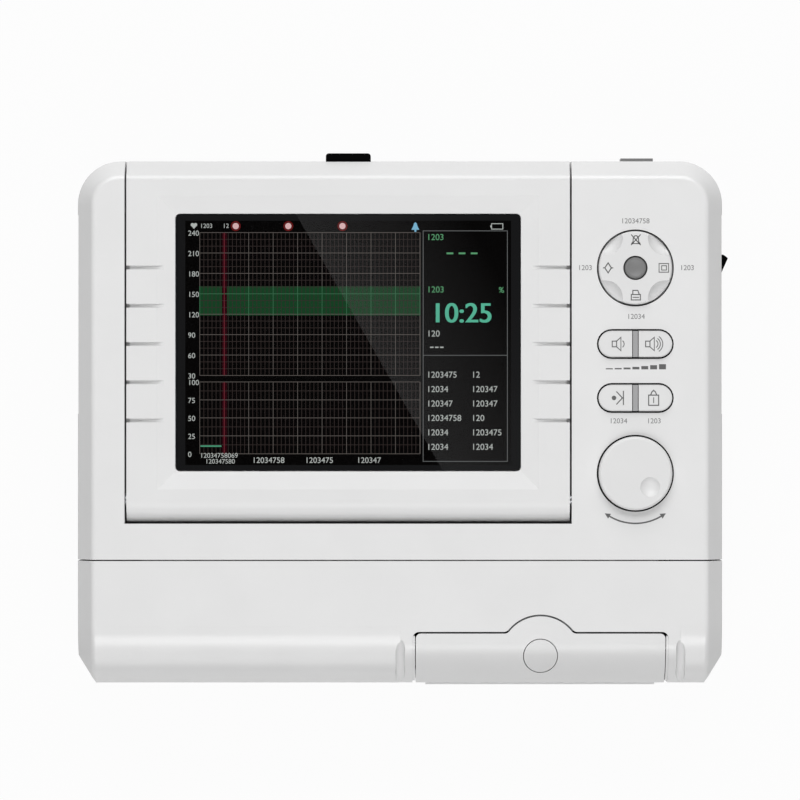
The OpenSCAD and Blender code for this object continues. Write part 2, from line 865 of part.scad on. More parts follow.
module power_rocker() {
    swing = rocker_swing;
    mid = 4.5;
    color(dark) translate([rocker_axis_x, rocker_y, rocker_z - rocker_h / 2]) {
        linear_extrude(rocker_h) intersection() {
            circle(rocker_r);
            polygon([
                [mid, 0],
                [mid + 12 * sin(swing), 12 * cos(swing)],
                [-5, 12],
                [-5, -12],
                [mid, -12]]);
        }
        translate([0, 0, -1.3]) cylinder(h = rocker_h + 2.6, r = 1.5);
    }
}

module power_inlet() {
    color(dark) difference() {
        union() {
            span([side_x - panel_in, inlet_y - inlet_w / 2 - 2.5, rocker_z - inlet_h / 2 - 2.5],
                [side_x, inlet_y + inlet_w / 2 + 2.5, rocker_z + inlet_h / 2 + 2.5]);
            span([side_x - 24, inlet_y - inlet_w / 2 - 1.3, rocker_z - inlet_h / 2 - 1.3],
                [side_x - panel_in, inlet_y + inlet_w / 2 + 1.3, rocker_z + inlet_h / 2 + 1.3]);
        }
        span([side_x - 18, inlet_y - inlet_w / 2 + 1.5, rocker_z - inlet_h / 2 + 1.5],
            [side_x + 1, inlet_y + inlet_w / 2 - 1.5, rocker_z + inlet_h / 2 - 1.5]);
    }
    color(steel) for (p = [[-7, -1.5], [0, 2.5], [7, -1.5]]) {
        span([side_x - 19, inlet_y + p[0] - 1, rocker_z + p[1] - 2], [side_x - 4, inlet_y + p[0] + 1, rocker_z + p[1] + 2]);
    }
}

port_x = side_x - 38.8;
port_w = 15;
port_out = 2.1;
port_h = 13.5;
port_z = 44;

module network_port_hole(gap) {
    span([port_x - port_w / 2 - gap, rear_y - wall - 3, port_z - port_h / 2 - gap],
        [port_x + port_w / 2 + gap, rear_y + 3, port_z + port_h / 2 + gap]);
}

module network_port() {
    color(grey) difference() {
        union() {
            span([port_x - port_w / 2, rear_y - 18, port_z - port_h / 2],
                [port_x + port_w / 2, rear_y + port_out, port_z + port_h / 2]);
            span([port_x - port_w / 2 - 1.5, rear_y - wall - 1.5, port_z - port_h / 2 - 1.5],
                [port_x + port_w / 2 + 1.5, rear_y - wall, port_z + port_h / 2 + 1.5]);
        }
        span([port_x - 5.9, rear_y - 13, port_z - 4.2], [port_x + 5.9, rear_y + port_out + 1, port_z + 3.4]);
        span([port_x - 3, rear_y - 13, port_z - 5.8], [port_x + 3, rear_y + port_out + 1, port_z - 4]);
    }
}

// Section of the screen panel: a round hinge edge and a slope at the rear, drawn in by inset.
module screen_profile(inset) {
    rear = rear_y - inset;
    top = case_top - inset;
    translate([hinge_y, hinge_z]) circle(screen_t / 2 - inset);
    polygon(concat(
        [[hinge_y, screen_low + inset], [rear, screen_low + inset]],
        [for (p = slope_points(inset == 0 ? 6 : 0)) [rear - p[0], top - p[1]]],
        [[hinge_y, top]]));
}

module screen_form(inset) {
    profile_along_x(screen_x0 + inset, screen_x1 - inset) screen_profile(inset);
}

module at_screen_screws(r0, z0, z1) {
    for (x = [screen_x0 + screen_screw_inset, screen_x1 - screen_screw_inset],
        y = [hinge_y + 16, rear_y - 24]) {
        translate([x, y, z0]) cylinder(h = z1 - z0, r = r0);
    }
}

module hinge_knuckles(r0) {
    for (x = [screen_x0, screen_x1 - pin_in - 3]) {
        translate([x, hinge_y, hinge_z]) rotate([0, 90, 0]) cylinder(h = pin_in + 3, r = r0);
    }
}

module at_screen_grooves() {
    for (i = [0:groove_count - 1]) {
        y = groove_mid + (i - (groove_count - 1) / 2) * groove_pitch;
        translate([screen_x0, y, case_top]) children();
        translate([screen_x1, y, case_top]) mirror([1, 0, 0]) children();
    }
}

// A thin disc sinks in from the edge, so that the groove fades out, with a deeper notch at the edge.
module finger_groove() {
    disc_r = (groove_len * groove_len + groove_depth * groove_depth) / (2 * groove_depth);
    translate([0, 0, disc_r - groove_depth]) rotate([90, 0, 0])
        cylinder(h = groove_w, r = disc_r, center = true, $fn = 360);
    span([-1, -groove_w / 2, -notch_depth], [notch_w, groove_w / 2, 1]);
}

module glass_frame() {
    w = glass_w + 2 * dish_margin;
    d = glass_d + 2 * dish_margin;
    span(
        [glass_cx - w / 2, glass_cy - d / 2, frame_low],
        [glass_cx + w / 2, glass_cy + d / 2, case_top]);
}

// The dish slopes from the top face down to the edge of the glass.
module glass_dish() {
    translate([glass_cx, glass_cy, 0]) hull() {
        translate([-glass_w / 2, -glass_d / 2, glass_top]) cube([glass_w, glass_d, EPS]);
        translate([-glass_w / 2 - dish_margin, -glass_d / 2 - dish_margin, case_top])
            cube([glass_w + 2 * dish_margin, glass_d + 2 * dish_margin, EPS]);
    }
}

module screen_bezel() {
    color(soft_white) difference() {
        intersection() {
            screen_form(0);
            span([screen_x0 - 1, screen_front - 1, hinge_z], [screen_x1 + 1, rear_y + 1, case_top + 1]);
        }
        difference() {
            screen_form(screen_wall);
            glass_frame();
            at_screen_screws(3.6, hinge_z - 1, case_top);
            hinge_knuckles(6.5);
        }
        glass_dish();
        translate([glass_cx, glass_cy, glass_seat])
            rounded_plate(glass_w + 0.4, glass_d + 0.4, 5, glass_corner);
        translate([glass_cx, glass_cy, frame_low - 1])
            rounded_plate(display_w + 2, display_d + 2, 10, 1);
        at_screen_screws(1.3, hinge_z - 1, case_top - screen_wall);
        at_screen_grooves() finger_groove();
        translate([screen_x0 - 1, hinge_y, hinge_z]) rotate([0, 90, 0])
            cylinder(h = pin_in + 1, r = hinge_pin_d / 2);
        translate([screen_x1 - pin_in, hinge_y, hinge_z]) rotate([0, 90, 0])
            cylinder(h = pin_in + 1, r = hinge_pin_d / 2);
    }
}

module screen_back() {
    color(soft_white) difference() {
        intersection() {
            screen_form(0);
            span([screen_x0 - 1, screen_front - 1, screen_low - 1], [screen_x1 + 1, rear_y + 1, hinge_z]);
        }
        difference() {
            screen_form(screen_wall);
            at_screen_screws(3.6, screen_low, hinge_z + 1);
            hinge_knuckles(6.5);
            at_display_posts(display_board_z);
        }
        at_screen_screws(1.7, screen_low - 1, hinge_z + 1);
        at_screen_screws(3.1, screen_low - 1, screen_low + 2.6);
        translate([screen_x0 - 1, hinge_y, hinge_z]) rotate([0, 90, 0])
            cylinder(h = pin_in + 1, r = hinge_pin_d / 2);
        translate([screen_x1 - pin_in, hinge_y, hinge_z]) rotate([0, 90, 0])
            cylinder(h = pin_in + 1, r = hinge_pin_d / 2);
        span([screen_cx - latch_w / 2 - 0.3, rear_y - 6, latch_z - 0.3],
            [screen_cx + latch_w / 2 + 0.3, rear_y + 1, latch_z + latch_h + 0.3]);
        span([screen_cx - tongue_w / 2 - 1, rear_y - tongue_back - latch_travel - 1, screen_low - 1],
            [screen_cx + tongue_w / 2 + 1, rear_y - tongue_back + tongue_t + 1, screen_low + 3]);
        span([screen_cx - 30, hinge_y + 22, screen_low - 1], [screen_cx - 10, hinge_y + 26, screen_low + 3]);
    }
}

display_board_z = screen_low + 4.5;
display_board_w = display_w - 2.7;
display_board_d = display_d - 20.6;

module at_display_posts(top) {
    for (x = [-1, 1], y = [-1, 1]) {
        translate([glass_cx + x * (display_board_w / 2 - 8), glass_cy + y * (display_board_d / 2 - 8), 0])
            cylinder(h = top, r = 3);
    }
}

module screen_glass() {
    color([0.05, 0.05, 0.06]) translate([glass_cx, glass_cy, glass_seat])
        rounded_plate(glass_w, glass_d, glass_t, glass_corner);
}

module lcd_module() {
    color([0.2, 0.2, 0.22]) {
        translate([glass_cx, glass_cy, frame_low - lcd_t])
            rounded_plate(display_w + 2 * lcd_margin, display_d + 2 * lcd_margin, lcd_t, 1);
        translate([glass_cx, glass_cy, frame_low - 1])
            rounded_plate(display_w, display_d, glass_seat - frame_low + 0.9, 0.5);
    }
}

module display_board() {
    color(board_green) {
        translate([glass_cx, glass_cy, display_board_z])
            rounded_plate(display_board_w, display_board_d, board_t - 0.1, 1);
        for (i = [-1:1]) {
            translate([glass_cx + i * display_board_w / 4, glass_cy - 4, display_board_z - 1.4])
                rounded_plate(14, 14, 1.4, 0.4);
        }
    }
}

module screen_screws() {
    color(steel) {
        at_screen_screws(2.8, screen_low + 0.4, screen_low + 2.6);
        at_screen_screws(1.3, screen_low + 2, case_top - screen_wall - 2);
    }
}

module hinge_pins() {
    color(steel) for (x = [screen_x0 - screen_gap - pin_out + 2, screen_x1 - pin_in]) {
        translate([x, hinge_y, hinge_z]) rotate([0, 90, 0])
            cylinder(h = pin_in + pin_out + screen_gap - 2, r = hinge_pin_d / 2);
    }
}

// Steel plates behind the walls of the tub carry the hinge pins.
module hinge_brackets() {
    depth = 1.6;
    color(steel) for (x = [screen_x0 - screen_gap - tub_t - 4 - depth, screen_x1 + screen_gap + tub_t + 4]) {
        difference() {
            span([x, hinge_y - 8, hinge_z - 8], [x + depth, hinge_y + 8, skin_z - 0.2]);
            translate([x - 1, hinge_y, hinge_z]) rotate([0, 90, 0])
                cylinder(h = depth + 2, r = hinge_pin_d / 2 + fit);
        }
    }
}

// The latch: a black push tab with a tongue that drops into the floor of the tub.
module screen_latch() {
    color(dark) {
        difference() {
            translate([screen_cx, rear_y + latch_out / 2 - 1.5, latch_z])
                rounded_plate(latch_w, latch_out + 3, latch_h, 1.4);
            translate([screen_cx, rear_y + latch_out + 4.6, latch_z + latch_h / 2])
                rotate([0, 90, 0]) cylinder(h = 14, r = 5, center = true);
        }
        span([screen_cx - latch_w / 2 - 2, rear_y - 5.5, latch_z + 0.3],
            [screen_cx + latch_w / 2 + 2, rear_y - screen_wall - 0.1, latch_z + 3]);
        span([screen_cx - tongue_w / 2, rear_y - tongue_back, latch_z + 0.3],
            [screen_cx + tongue_w / 2, rear_y - 5.5, latch_z + 3]);
        span([screen_cx - tongue_w / 2, rear_y - tongue_back, recess_floor - 1],
            [screen_cx + tongue_w / 2, rear_y - tongue_back + tongue_t, latch_z + 0.3]);
    }
}

// Keypad column.
module at_keypad_screws() {
    for (x = [-1, 1], y = [keypad_front + 4, keypad_rear - 4]) {
        translate([key_x + x * (keypad_w / 2 - 4), y, 0]) children();
    }
}

module keypad_board() {
    color(board_green) difference() {
        span([key_x - keypad_w / 2, keypad_front, keypad_board_z], [key_x + keypad_w / 2, keypad_rear, keypad_board_top]);
        at_keypad_screws() cylinder(h = case_top, r = 1.6);
    }
}

module keypad_screws() {
    color(steel) at_keypad_screws() {
        cylinder_between(keypad_board_z - 2, keypad_board_z, 2.6);
        cylinder_between(keypad_board_z, skin_z - 1.2, keypad_screw_r);
    }
}

// Rubber mat: a thin sheet with a dome under each key.
module keypad_mat() {
    sheet_t = 0.8;
    color(grey) {
        span([key_x - keypad_w / 2, event_y - 10, keypad_board_top],
            [key_x + keypad_w / 2, pad_y + 16, keypad_board_top + sheet_t]);
        for (x = [-1, 1], y = [volume_y, event_y]) {
            translate([key_x + x * pill_l / 4, y, keypad_board_top]) cylinder(h = mat_top - keypad_board_top, r = 3);
        }
        translate([key_x, pad_y, keypad_board_top]) cylinder(h = mat_top - keypad_board_top, r = 3);
        for (x = [-1, 1]) {
            translate([key_x + x * ring_r, pad_y, keypad_board_top])
                cylinder(h = ring_axis_z - ring_foot_r - seat - keypad_board_top, r = 2);
        }
        for (y = [volume_y, event_y]) {
            span([key_x - divider_w / 2, y - pill_w / 2, keypad_board_top],
                [key_x + divider_w / 2, y + pill_w / 2, mat_top]);
        }
    }
}

module key_dividers() {
    color(mid_grey) for (y = [volume_y, event_y]) {
        span([key_x - divider_w / 2, y - pill_w / 2 + 0.1, mat_top],
            [key_x + divider_w / 2, y + pill_w / 2 - 0.1, key_top - 0.4]);
    }
}

// One key of a pair: half a pill with a slightly crowned edge and a lip under the cover.
module pill_key(side, y) {
    reach = pill_l;
    low = skin_z - seat - lip_t;
    color(key_white) translate([key_x, y, 0]) intersection() {
        union() {
            translate([0, 0, key_foot]) pill(pill_l, pill_w, key_top - 0.5 - key_foot);
            translate([0, 0, key_top - 0.5 - EPS]) pill(pill_l - 0.8, pill_w - 0.8, 0.5 + EPS);
            translate([0, 0, low]) pill(pill_l + 2.4, pill_w + 2.4, lip_t);
        }
        span([side > 0 ? divider_w / 2 + 0.35 : -reach, -reach, 0], [side > 0 ? reach : -divider_w / 2 - 0.35, reach, 99]);
    }
}

module volume_down_key() {
    pill_key(-1, volume_y);
}

module volume_up_key() {
    pill_key(1, volume_y);
}

module event_key() {
    pill_key(-1, event_y);
}

module lock_key() {
    pill_key(1, event_y);
}

// The pad rocks on a ring, and the ring rocks on the mat, so that it can tilt four ways.
ring_r = 10.5;
ring_foot_r = 1;
ring_t = 1.4;
ring_axis_z = skin_z - 3.2;
pad_axis_z = ring_axis_z + ring_t + seat + ring_foot_r;
pad_hole_r = button_r + 0.6;

module nav_ring() {
    color(grey) translate([key_x, pad_y, ring_axis_z]) {
        difference() {
            cylinder(h = ring_t, r = 12);
            translate([0, 0, -1]) cylinder(h = ring_t + 2, r = 9);
        }
        for (x = [-1, 1]) {
            translate([x * ring_r, 0, 0]) rotate([0, 90, 0]) cylinder(h = 2.6, r = ring_foot_r, center = true, $fn = 24);
        }
    }
}

module nav_pad() {
    under = pad_axis_z;
    color(key_white) translate([key_x, pad_y, 0]) difference() {
        union() {
            cylinder_between(under, key_top - 0.6, pad_r);
            translate([0, 0, key_top - 0.6]) cylinder(h = 0.6, r1 = pad_r, r2 = pad_r - 0.6);
            difference() {
                cylinder_between(under - 1.6, under - 0.7, pad_r + 1.8);
                cylinder_between(under - 3, under, 13.6);
            }
            difference() {
                cylinder_between(under - 1.6, under, pad_r - 0.4);
                cylinder_between(under - 3, under + 1, 13.6);
            }
            for (y = [-1, 1]) {
                translate([0, y * ring_r, under]) rotate([90, 0, 0]) cylinder(h = 2.6, r = ring_foot_r, center = true, $fn = 24);
            }
        }
        cylinder_between(0, key_top + 10, pad_hole_r);
        for (a = [45:90:315]) {
            rotate([0, 0, a]) translate([19.4, 0, key_top + 5.6]) sphere(9.7);
        }
    }
}

module nav_button() {
    color(grey) translate([key_x, pad_y, 0]) {
        difference() {
            union() {
                cylinder_between(key_foot, key_top - 0.9, button_r);
                translate([0, 0, key_top - 0.9]) cylinder(h = 0.6, r1 = button_r, r2 = button_r - 0.6);
            }
            translate([0, 0, key_top + 13.2]) sphere(14);
        }
        cylinder_between(key_foot, key_foot + 0.9, button_r + 1.2);
    }
}

// Rotary encoder and its knob.
module encoder_body() {
    color(dark) translate([key_x, knob_y, 0]) difference() {
        union() {
            translate([-7, -7, keypad_board_top]) cube([14, 14, 5]);
            cylinder_between(keypad_board_top + 5, case_top - 0.5, 3.6);
        }
        cylinder_between(keypad_board_top + 1, case_top + 1, encoder_shaft_d / 2 + fit);
    }
}

module encoder_shaft() {
    color(steel) translate([key_x, knob_y, 0])
        cylinder_between(keypad_board_top + 1.2, case_top + knob_proud - 1.6, encoder_shaft_d / 2);
}

module knob() {
    low = skin_z + 0.8;
    high = case_top + knob_proud;
    edge = 1.4;
    skin = 1.6;
    color(key_white) translate([key_x, knob_y, 0]) difference() {
        rotate_extrude() {
            polygon(concat(
                [[0, low], [knob_r, low]],
                [for (a = [0:15:90]) [knob_r - edge + edge * cos(a), high - edge + edge * sin(a)]],
                [[0, high]]));
        }
        difference() {
            cylinder_between(low - 1, high - skin - 1.2, knob_r - skin);
            cylinder_between(case_top, high, 5.5);
        }
        cylinder_between(low - 1, high - skin, encoder_shaft_d / 2);
        translate([6.7, -6.3, high + 4.6]) sphere(6.5);
    }
}

// Printer door, its button, hinge and platen.
module printer_door() {
    color(soft_white) difference() {
        union() {
            intersection() {
                door_prism(0, 0, door_low, case_top + 1);
                difference() {
                    profile_along_x(door_x0, door_x1) block_profile(0, front_y + 40, door_low);
                    profile_along_x(door_x0 - 1, door_x1 + 1) block_profile(door_t, front_y + 60, door_low - 5);
                }
            }
            span([door_x0 + door_band_in, front_y - door_proud, door_low + 6],
                [door_x1 - door_band_in, front_y + 1, door_low + 50]);
            door_ears();
        }
        translate([door_cx, door_button_y, 40]) cylinder(h = 60, r = door_button_r + 0.35);
        translate([door_x0 - 1, pivot_y, pivot_z]) rotate([0, 90, 0])
            cylinder(h = door_w + 2, r = pivot_pin_d / 2 + fit);
        translate([door_x0 - 1, platen_y, platen_z]) rotate([0, 90, 0])
            cylinder(h = door_w + 2, r = platen_shaft_d / 2 + fit);
    }
}

module door_ears() {
    for (side = [-1, 1]) {
        hinge_x = door_cx + side * (door_w / 2 - 3);
        platen_x = door_cx + side * (platen_half + 1.5);
        profile_along_x(hinge_x - 2.5, hinge_x + 2.5) {
            translate([pivot_y, pivot_z]) circle(pivot_in - 0.2);
            polygon([
                [front_y + 1, door_low],
                [pivot_y, door_low + 0.2],
                [pivot_y + 3.6, pivot_z + 1],
                [front_y + 1, pivot_z + 14]]);
        }
        profile_along_x(platen_x - 1.2, platen_x + 1.2) {
            translate([platen_y, platen_z]) circle(4.2);
            polygon([
                [platen_y + 1, platen_z - 4],
                [platen_y + 1, platen_z + 4],
                [front_y + door_t - 0.5, platen_z + 3],
                [front_y + door_t - 0.5, platen_z - 14]]);
        }
    }
}

module door_button() {
    low = platen_z + platen_r + door_button_travel + 1;
    color(key_white) {
        intersection() {
            translate([door_cx, door_button_y, low]) cylinder(h = 40, r = door_button_r);
            profile_along_x(door_cx - 12, door_cx + 12) block_profile(-0.4, front_y + 40, low - 1);
        }
        intersection() {
            translate([door_cx, door_button_y, low]) cylinder(h = 1.6, r = door_button_r + 1.6);
            profile_along_x(door_cx - 12, door_cx + 12) block_profile(door_t + 0.4, front_y + 40, low - 1);
        }
    }
}

module door_hinge_pins() {
    color(steel) for (x = [door_x0 - door_side_gap - wall, door_x1 - 6]) {
        translate([x, pivot_y, pivot_z]) rotate([0, 90, 0])
            cylinder(h = wall + door_side_gap + 6, r = pivot_pin_d / 2);
    }
}

module platen_roller() {
    color([0.16, 0.16, 0.16]) translate([door_cx - platen_half, platen_y, platen_z]) rotate([0, 90, 0])
        difference() {
            cylinder(h = 2 * platen_half, r = platen_r);
            translate([0, 0, -1]) cylinder(h = 2 * platen_half + 2, r = platen_shaft_d / 2);
        }
}

module platen_shaft() {
    color(steel) translate([door_cx - platen_half - 4, platen_y, platen_z]) rotate([0, 90, 0])
        cylinder(h = gear_x + gear_t - (door_cx - platen_half - 4), r = platen_shaft_d / 2);
}

// A spur gear with straight-sided teeth, with one tooth pointing along phase.
module spur_gear(teeth, bore_r, phase) {
    pitch_r = gear_module * teeth / 2;
    root_r = pitch_r - 1.1 * gear_module;
    tip_r = pitch_r + 0.7 * gear_module;
    root_a = 360 / teeth * 0.27;
    tip_a = 360 / teeth * 0.1;
    linear_extrude(gear_t) difference() {
        rotate(phase) polygon([for (i = [0:teeth - 1], corner = [[root_r, -root_a], [tip_r, -tip_a], [tip_r, tip_a], [root_r, root_a]])
            let (a = 360 * i / teeth + corner[1])
            [corner[0] * cos(a), corner[0] * sin(a)]]);
        circle(bore_r);
    }
}

platen_pitch_r = gear_module * platen_teeth / 2;
idler_pitch_r = gear_module * idler_teeth / 2;
pinion_pitch_r = gear_module * pinion_teeth / 2;
mesh_gap = 0.1;
idler_y = platen_y + (platen_pitch_r + idler_pitch_r + mesh_gap) * cos(mesh_angle);
idler_z = platen_z + (platen_pitch_r + idler_pitch_r + mesh_gap) * sin(mesh_angle);
pinion_y = idler_y + (idler_pitch_r + pinion_pitch_r + mesh_gap) * cos(drive_angle);
pinion_z = idler_z + (idler_pitch_r + pinion_pitch_r + mesh_gap) * sin(drive_angle);
idler_phase = mesh_angle + 180 + 180 / idler_teeth;
pinion_phase = drive_angle + 180 + 180 / pinion_teeth + (drive_angle - idler_phase) * idler_teeth / pinion_teeth;

// Gears are drawn in Y and Z and stand in one plane beside the paper bay.
module gear_at(y, z) {
    translate([gear_x, y, z]) rotate([90, 0, 90]) children();
}

module platen_gear() {
    color(soft_white) gear_at(platen_y, platen_z) spur_gear(platen_teeth, platen_shaft_d / 2, mesh_angle);
}

module idler_gear() {
    color(soft_white) gear_at(idler_y, idler_z) spur_gear(idler_teeth, 2 + fit, idler_phase);
}

module motor_pinion() {
    color(brass) {
        gear_at(pinion_y, pinion_z) spur_gear(pinion_teeth, 0, pinion_phase);
        gear_at(pinion_y, pinion_z) translate([0, 0, gear_t]) cylinder(h = 6, r = 1.5);
    }
}

gear_plate_x = door_cx + frame_half + frame_t + 0.1;
gear_plate_t = 1.5;
motor_r = 14;

module gear_plate() {
    color(steel) {
        difference() {
            span([gear_plate_x, idler_y - 8, frame_low_z], [gear_plate_x + gear_plate_t, pinion_y + 16, idler_z + 8]);
            gear_at(pinion_y, pinion_z) cylinder(h = 10, r = 1.5 + fit);
        }
        gear_at(idler_y, idler_z) translate([0, 0, -0.4]) cylinder(h = gear_plate_x - gear_x + 0.4, r = 2);
    }
}

module stepper_motor() {
    motor_x = gear_plate_x + gear_plate_t;
    color(dark) translate([motor_x, pinion_y, pinion_z]) rotate([0, 90, 0]) difference() {
        cylinder(h = 19, r = motor_r);
        translate([0, 0, -1]) cylinder(h = 8, r = 1.8);
    }
}

module printer_frame() {
    half = frame_half;
    color([0.3, 0.31, 0.33]) difference() {
        union() {
            span([door_cx - half - frame_t, frame_front, frame_low_z], [door_cx + half + frame_t, frame_rear, frame_low_z + 2]);
            span([door_cx - half - frame_t, frame_rear - frame_t, frame_low_z], [door_cx + half + frame_t, frame_rear, frame_high_z]);
            for (x = [door_cx - half - frame_t, door_cx + half]) {
                span([x, frame_front + 12, frame_low_z], [x + frame_t, frame_rear, frame_high_z]);
            }
            span([door_cx - half - frame_t, frame_front + 12, frame_high_z - 3],
                [door_cx + half + frame_t, frame_front + 22, frame_high_z]);
        }
        span([gear_x - 1, frame_front, frame_low_z + 12], [gear_x + 10, pinion_y + 8, frame_high_z + 1]);
    }
}

module thermal_head() {
    face = platen_y + platen_r + 0.25;
    color(steel) {
        span([door_cx - 54, face, frame_high_z], [door_cx + 52, face + 1.2, platen_z + 9]);
        span([door_cx - 54, face + 1.2, frame_high_z], [door_cx + 52, face + 4, platen_z + 12]);
        for (i = [0:10]) {
            span([door_cx - 51 + i * 10, face + 4, frame_high_z], [door_cx - 49.5 + i * 10, face + 9, platen_z + 12]);
        }
    }
}

module tear_bar() {
    color(steel) span([door_cx - 56, door_top_y + door_gap + 0.4, skin_z - 1.3],
        [door_cx + 56, door_top_y + door_gap + 8, skin_z - seat]);
}

// Boards and other units inside the case.
main_board_z = split_z - 1;
main_board_x0 = 31.2 - side_x;
main_board_x1 = main_board_x0 + 118;
main_board_y0 = rear_y - 132.8;
main_board_y1 = rear_y - 14;
power_board_z = floor_z + 6.5;
power_x = side_x - 69.2;

module at_main_board_posts() {
    for (x = [main_board_x0 + 5, main_board_x1 - 5], y = [main_board_y0 + 5, main_board_y1 - 5]) {
        translate([x, y, 0]) children();
    }
}

module main_board() {
    color(board_green) {
        span([main_board_x0, main_board_y0, main_board_z], [main_board_x1, main_board_y1, main_board_z + board_t]);
        for (p = [[-90, 20], [-60, 62], [-30, 30]]) {
            translate([p[0], p[1], main_board_z + board_t]) rounded_plate(18, 18, 2.2, 0.5);
        }
        for (i = [0:5]) {
            translate([-98 + i * 9, 94, main_board_z + board_t]) cylinder(h = 8, r = 3);
        }
    }
}

module power_supply() {
    y = panel_y - 8;
    color(board_green) span([power_x - 40, y - 30, power_board_z], [power_x + 36, y + 30, power_board_z + board_t]);
    color(mid_grey) {
        translate([power_x - 14, y, power_board_z + board_t]) rounded_plate(26, 30, 20, 1);
        translate([power_x + 18, y - 18, power_board_z + board_t]) cylinder(h = 18, r = 8);
        span([power_x - 38, y - 28, power_board_z + board_t], [power_x - 35, y + 28, power_board_z + 22]);
    }
}

speaker_x = 49.2 - side_x;
speaker_y = rear_y - 60.8;

module loudspeaker() {
    color(dark) translate([speaker_x, speaker_y, floor_z]) {
        difference() {
            cylinder(h = 4, r = 26);
            translate([0, 0, -1]) cylinder(h = 3, r = 22);
        }
        translate([0, 0, 4]) cylinder(h = 8, r1 = 24, r2 = 14);
        translate([0, 0, 12]) cylinder(h = 7, r = 13);
    }
}

module speaker_slots() {
    for (i = [-4:4]) {
        translate([speaker_x + i * 4.5, speaker_y, foot_h - 1])
            rotate([0, 0, 90]) pill(2 * sqrt(400 - pow(i * 4.5, 2)), 1.8, 6);
    }
}

base_tray();
top_cover();
front_cover();
left_socket_panel();
right_switch_panel();
battery_door();
battery_door_screws();
battery_pack();
rubber_feet();
case_screws();
bracket_inserts();
screen_bezel();
screen_back();
screen_glass();
lcd_module();
display_board();
screen_screws();
hinge_pins();
hinge_brackets();
screen_latch();
nav_ring();
nav_pad();
nav_button();
volume_down_key();
volume_up_key();
event_key();
lock_key();
key_dividers();
keypad_mat();
keypad_board();
keypad_screws();
encoder_body();
encoder_shaft();
knob();
printer_door();
door_button();
door_hinge_pins();
platen_roller();
platen_shaft();
platen_gear();
idler_gear();
motor_pinion();
stepper_motor();
gear_plate();
printer_frame();
thermal_head();
tear_bar();
main_board();
power_supply();
loudspeaker();
ultrasound_sockets();
contraction_socket();
marker_socket();
power_inlet();
switch_body();
power_rocker();
network_port();
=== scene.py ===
# Looks of the cardiotocograph: materials, the lit display, printed marks, studio light and camera.
from collections import namedtuple
import json
import math

import bmesh
import bpy
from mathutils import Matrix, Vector


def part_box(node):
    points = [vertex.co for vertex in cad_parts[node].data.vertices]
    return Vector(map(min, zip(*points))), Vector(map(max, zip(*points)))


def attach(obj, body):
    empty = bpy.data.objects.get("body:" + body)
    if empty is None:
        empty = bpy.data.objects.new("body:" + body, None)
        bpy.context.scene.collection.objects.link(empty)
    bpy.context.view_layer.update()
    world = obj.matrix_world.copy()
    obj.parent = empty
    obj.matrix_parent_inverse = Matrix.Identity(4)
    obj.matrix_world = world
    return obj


MM = 0.001

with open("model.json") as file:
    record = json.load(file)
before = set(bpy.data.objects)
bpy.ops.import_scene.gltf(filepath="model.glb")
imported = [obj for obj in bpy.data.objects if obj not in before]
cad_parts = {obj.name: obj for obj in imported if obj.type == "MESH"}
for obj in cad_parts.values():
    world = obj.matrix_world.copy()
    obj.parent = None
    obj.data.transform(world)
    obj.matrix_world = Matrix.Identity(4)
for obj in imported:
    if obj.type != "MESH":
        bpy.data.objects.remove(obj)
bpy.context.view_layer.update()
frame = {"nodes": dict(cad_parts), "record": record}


def place(node):
    """Lowest and highest corner of a CAD node, in millimetres."""
    return [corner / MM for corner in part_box(node)]


def middle(node):
    """Middle of a CAD node's box, in millimetres."""
    low, high = place(node)
    return (low + high) / 2


# Places and heights taken from the frame, in millimetres
CASE_TOP = place("top_cover")[1].z
LCD_LOW, LCD_HIGH = place("lcd_module")
GLASS_LOW, GLASS_HIGH = place("screen_glass")
PAD_LOW, PAD_HIGH = place("nav_pad")
KNOB_LOW, KNOB_HIGH = place("knob")
KEYS_LOW = place("volume_down_key")[0]
KEYS_HIGH = place("volume_up_key")[1]
KEY_X = middle("nav_pad").x
KEY_TOP = PAD_HIGH.z
PAD_Y = middle("nav_pad").y
VOLUME_Y = middle("volume_up_key").y
EVENT_Y = middle("event_key").y
KNOB_Y = middle("knob").y

# Widths of the edges that lie out of sight: the display's rim, and the flanges under the cover
LCD_RIM = 6.0
PAD_FLANGE = 1.8
KEY_FLANGE = 1.2

# The lit area of the display, and the thin layers of its picture
DISPLAY_LEFT = LCD_LOW.x + LCD_RIM
DISPLAY_RIGHT = LCD_HIGH.x - LCD_RIM
DISPLAY_REAR = LCD_HIGH.y - LCD_RIM
DISPLAY_FRONT = LCD_LOW.y + LCD_RIM
DISPLAY_FACE = LCD_HIGH.z
LAYER_GAP = 0.015
LAYER_STEP = 0.012

# Places on the display are measured to the right and forward from the rear left corner of its lit area.
# A chart has rows of one step each, fine rows in each step, and numbers that drop from the highest one.
Chart = namedtuple("Chart", "top rows step fine_rows highest drop")
UPPER_CHART = Chart(top=5.5, rows=7, step=9.43, fine_rows=3, highest=240, drop=30)
LOWER_CHART = Chart(top=74.5, rows=4, step=8.3, fine_rows=2, highest=100, drop=25)
CHARTS = (UPPER_CHART, LOWER_CHART)

# Columns of both charts, the fine columns in each, and the width of all the lines
GRID_LEFT = 5.8
GRID_RIGHT = 107.6
GRID_WIDTH = 0.26
COLUMNS = 9
COLUMN_STEP = 11.3
FINE_COLUMNS = 6

# The green band, the row of the upper chart that runs through it, and the upright cursor
BAND_TOP = 30.3
BAND_BOTTOM = 43.8
BAND_ROW = 3
BAND_LINE_WIDTH = 0.3
CURSOR_LEFT = 16.0
CURSOR_RIGHT = 18.4
CURSOR_WIDTH = 0.4

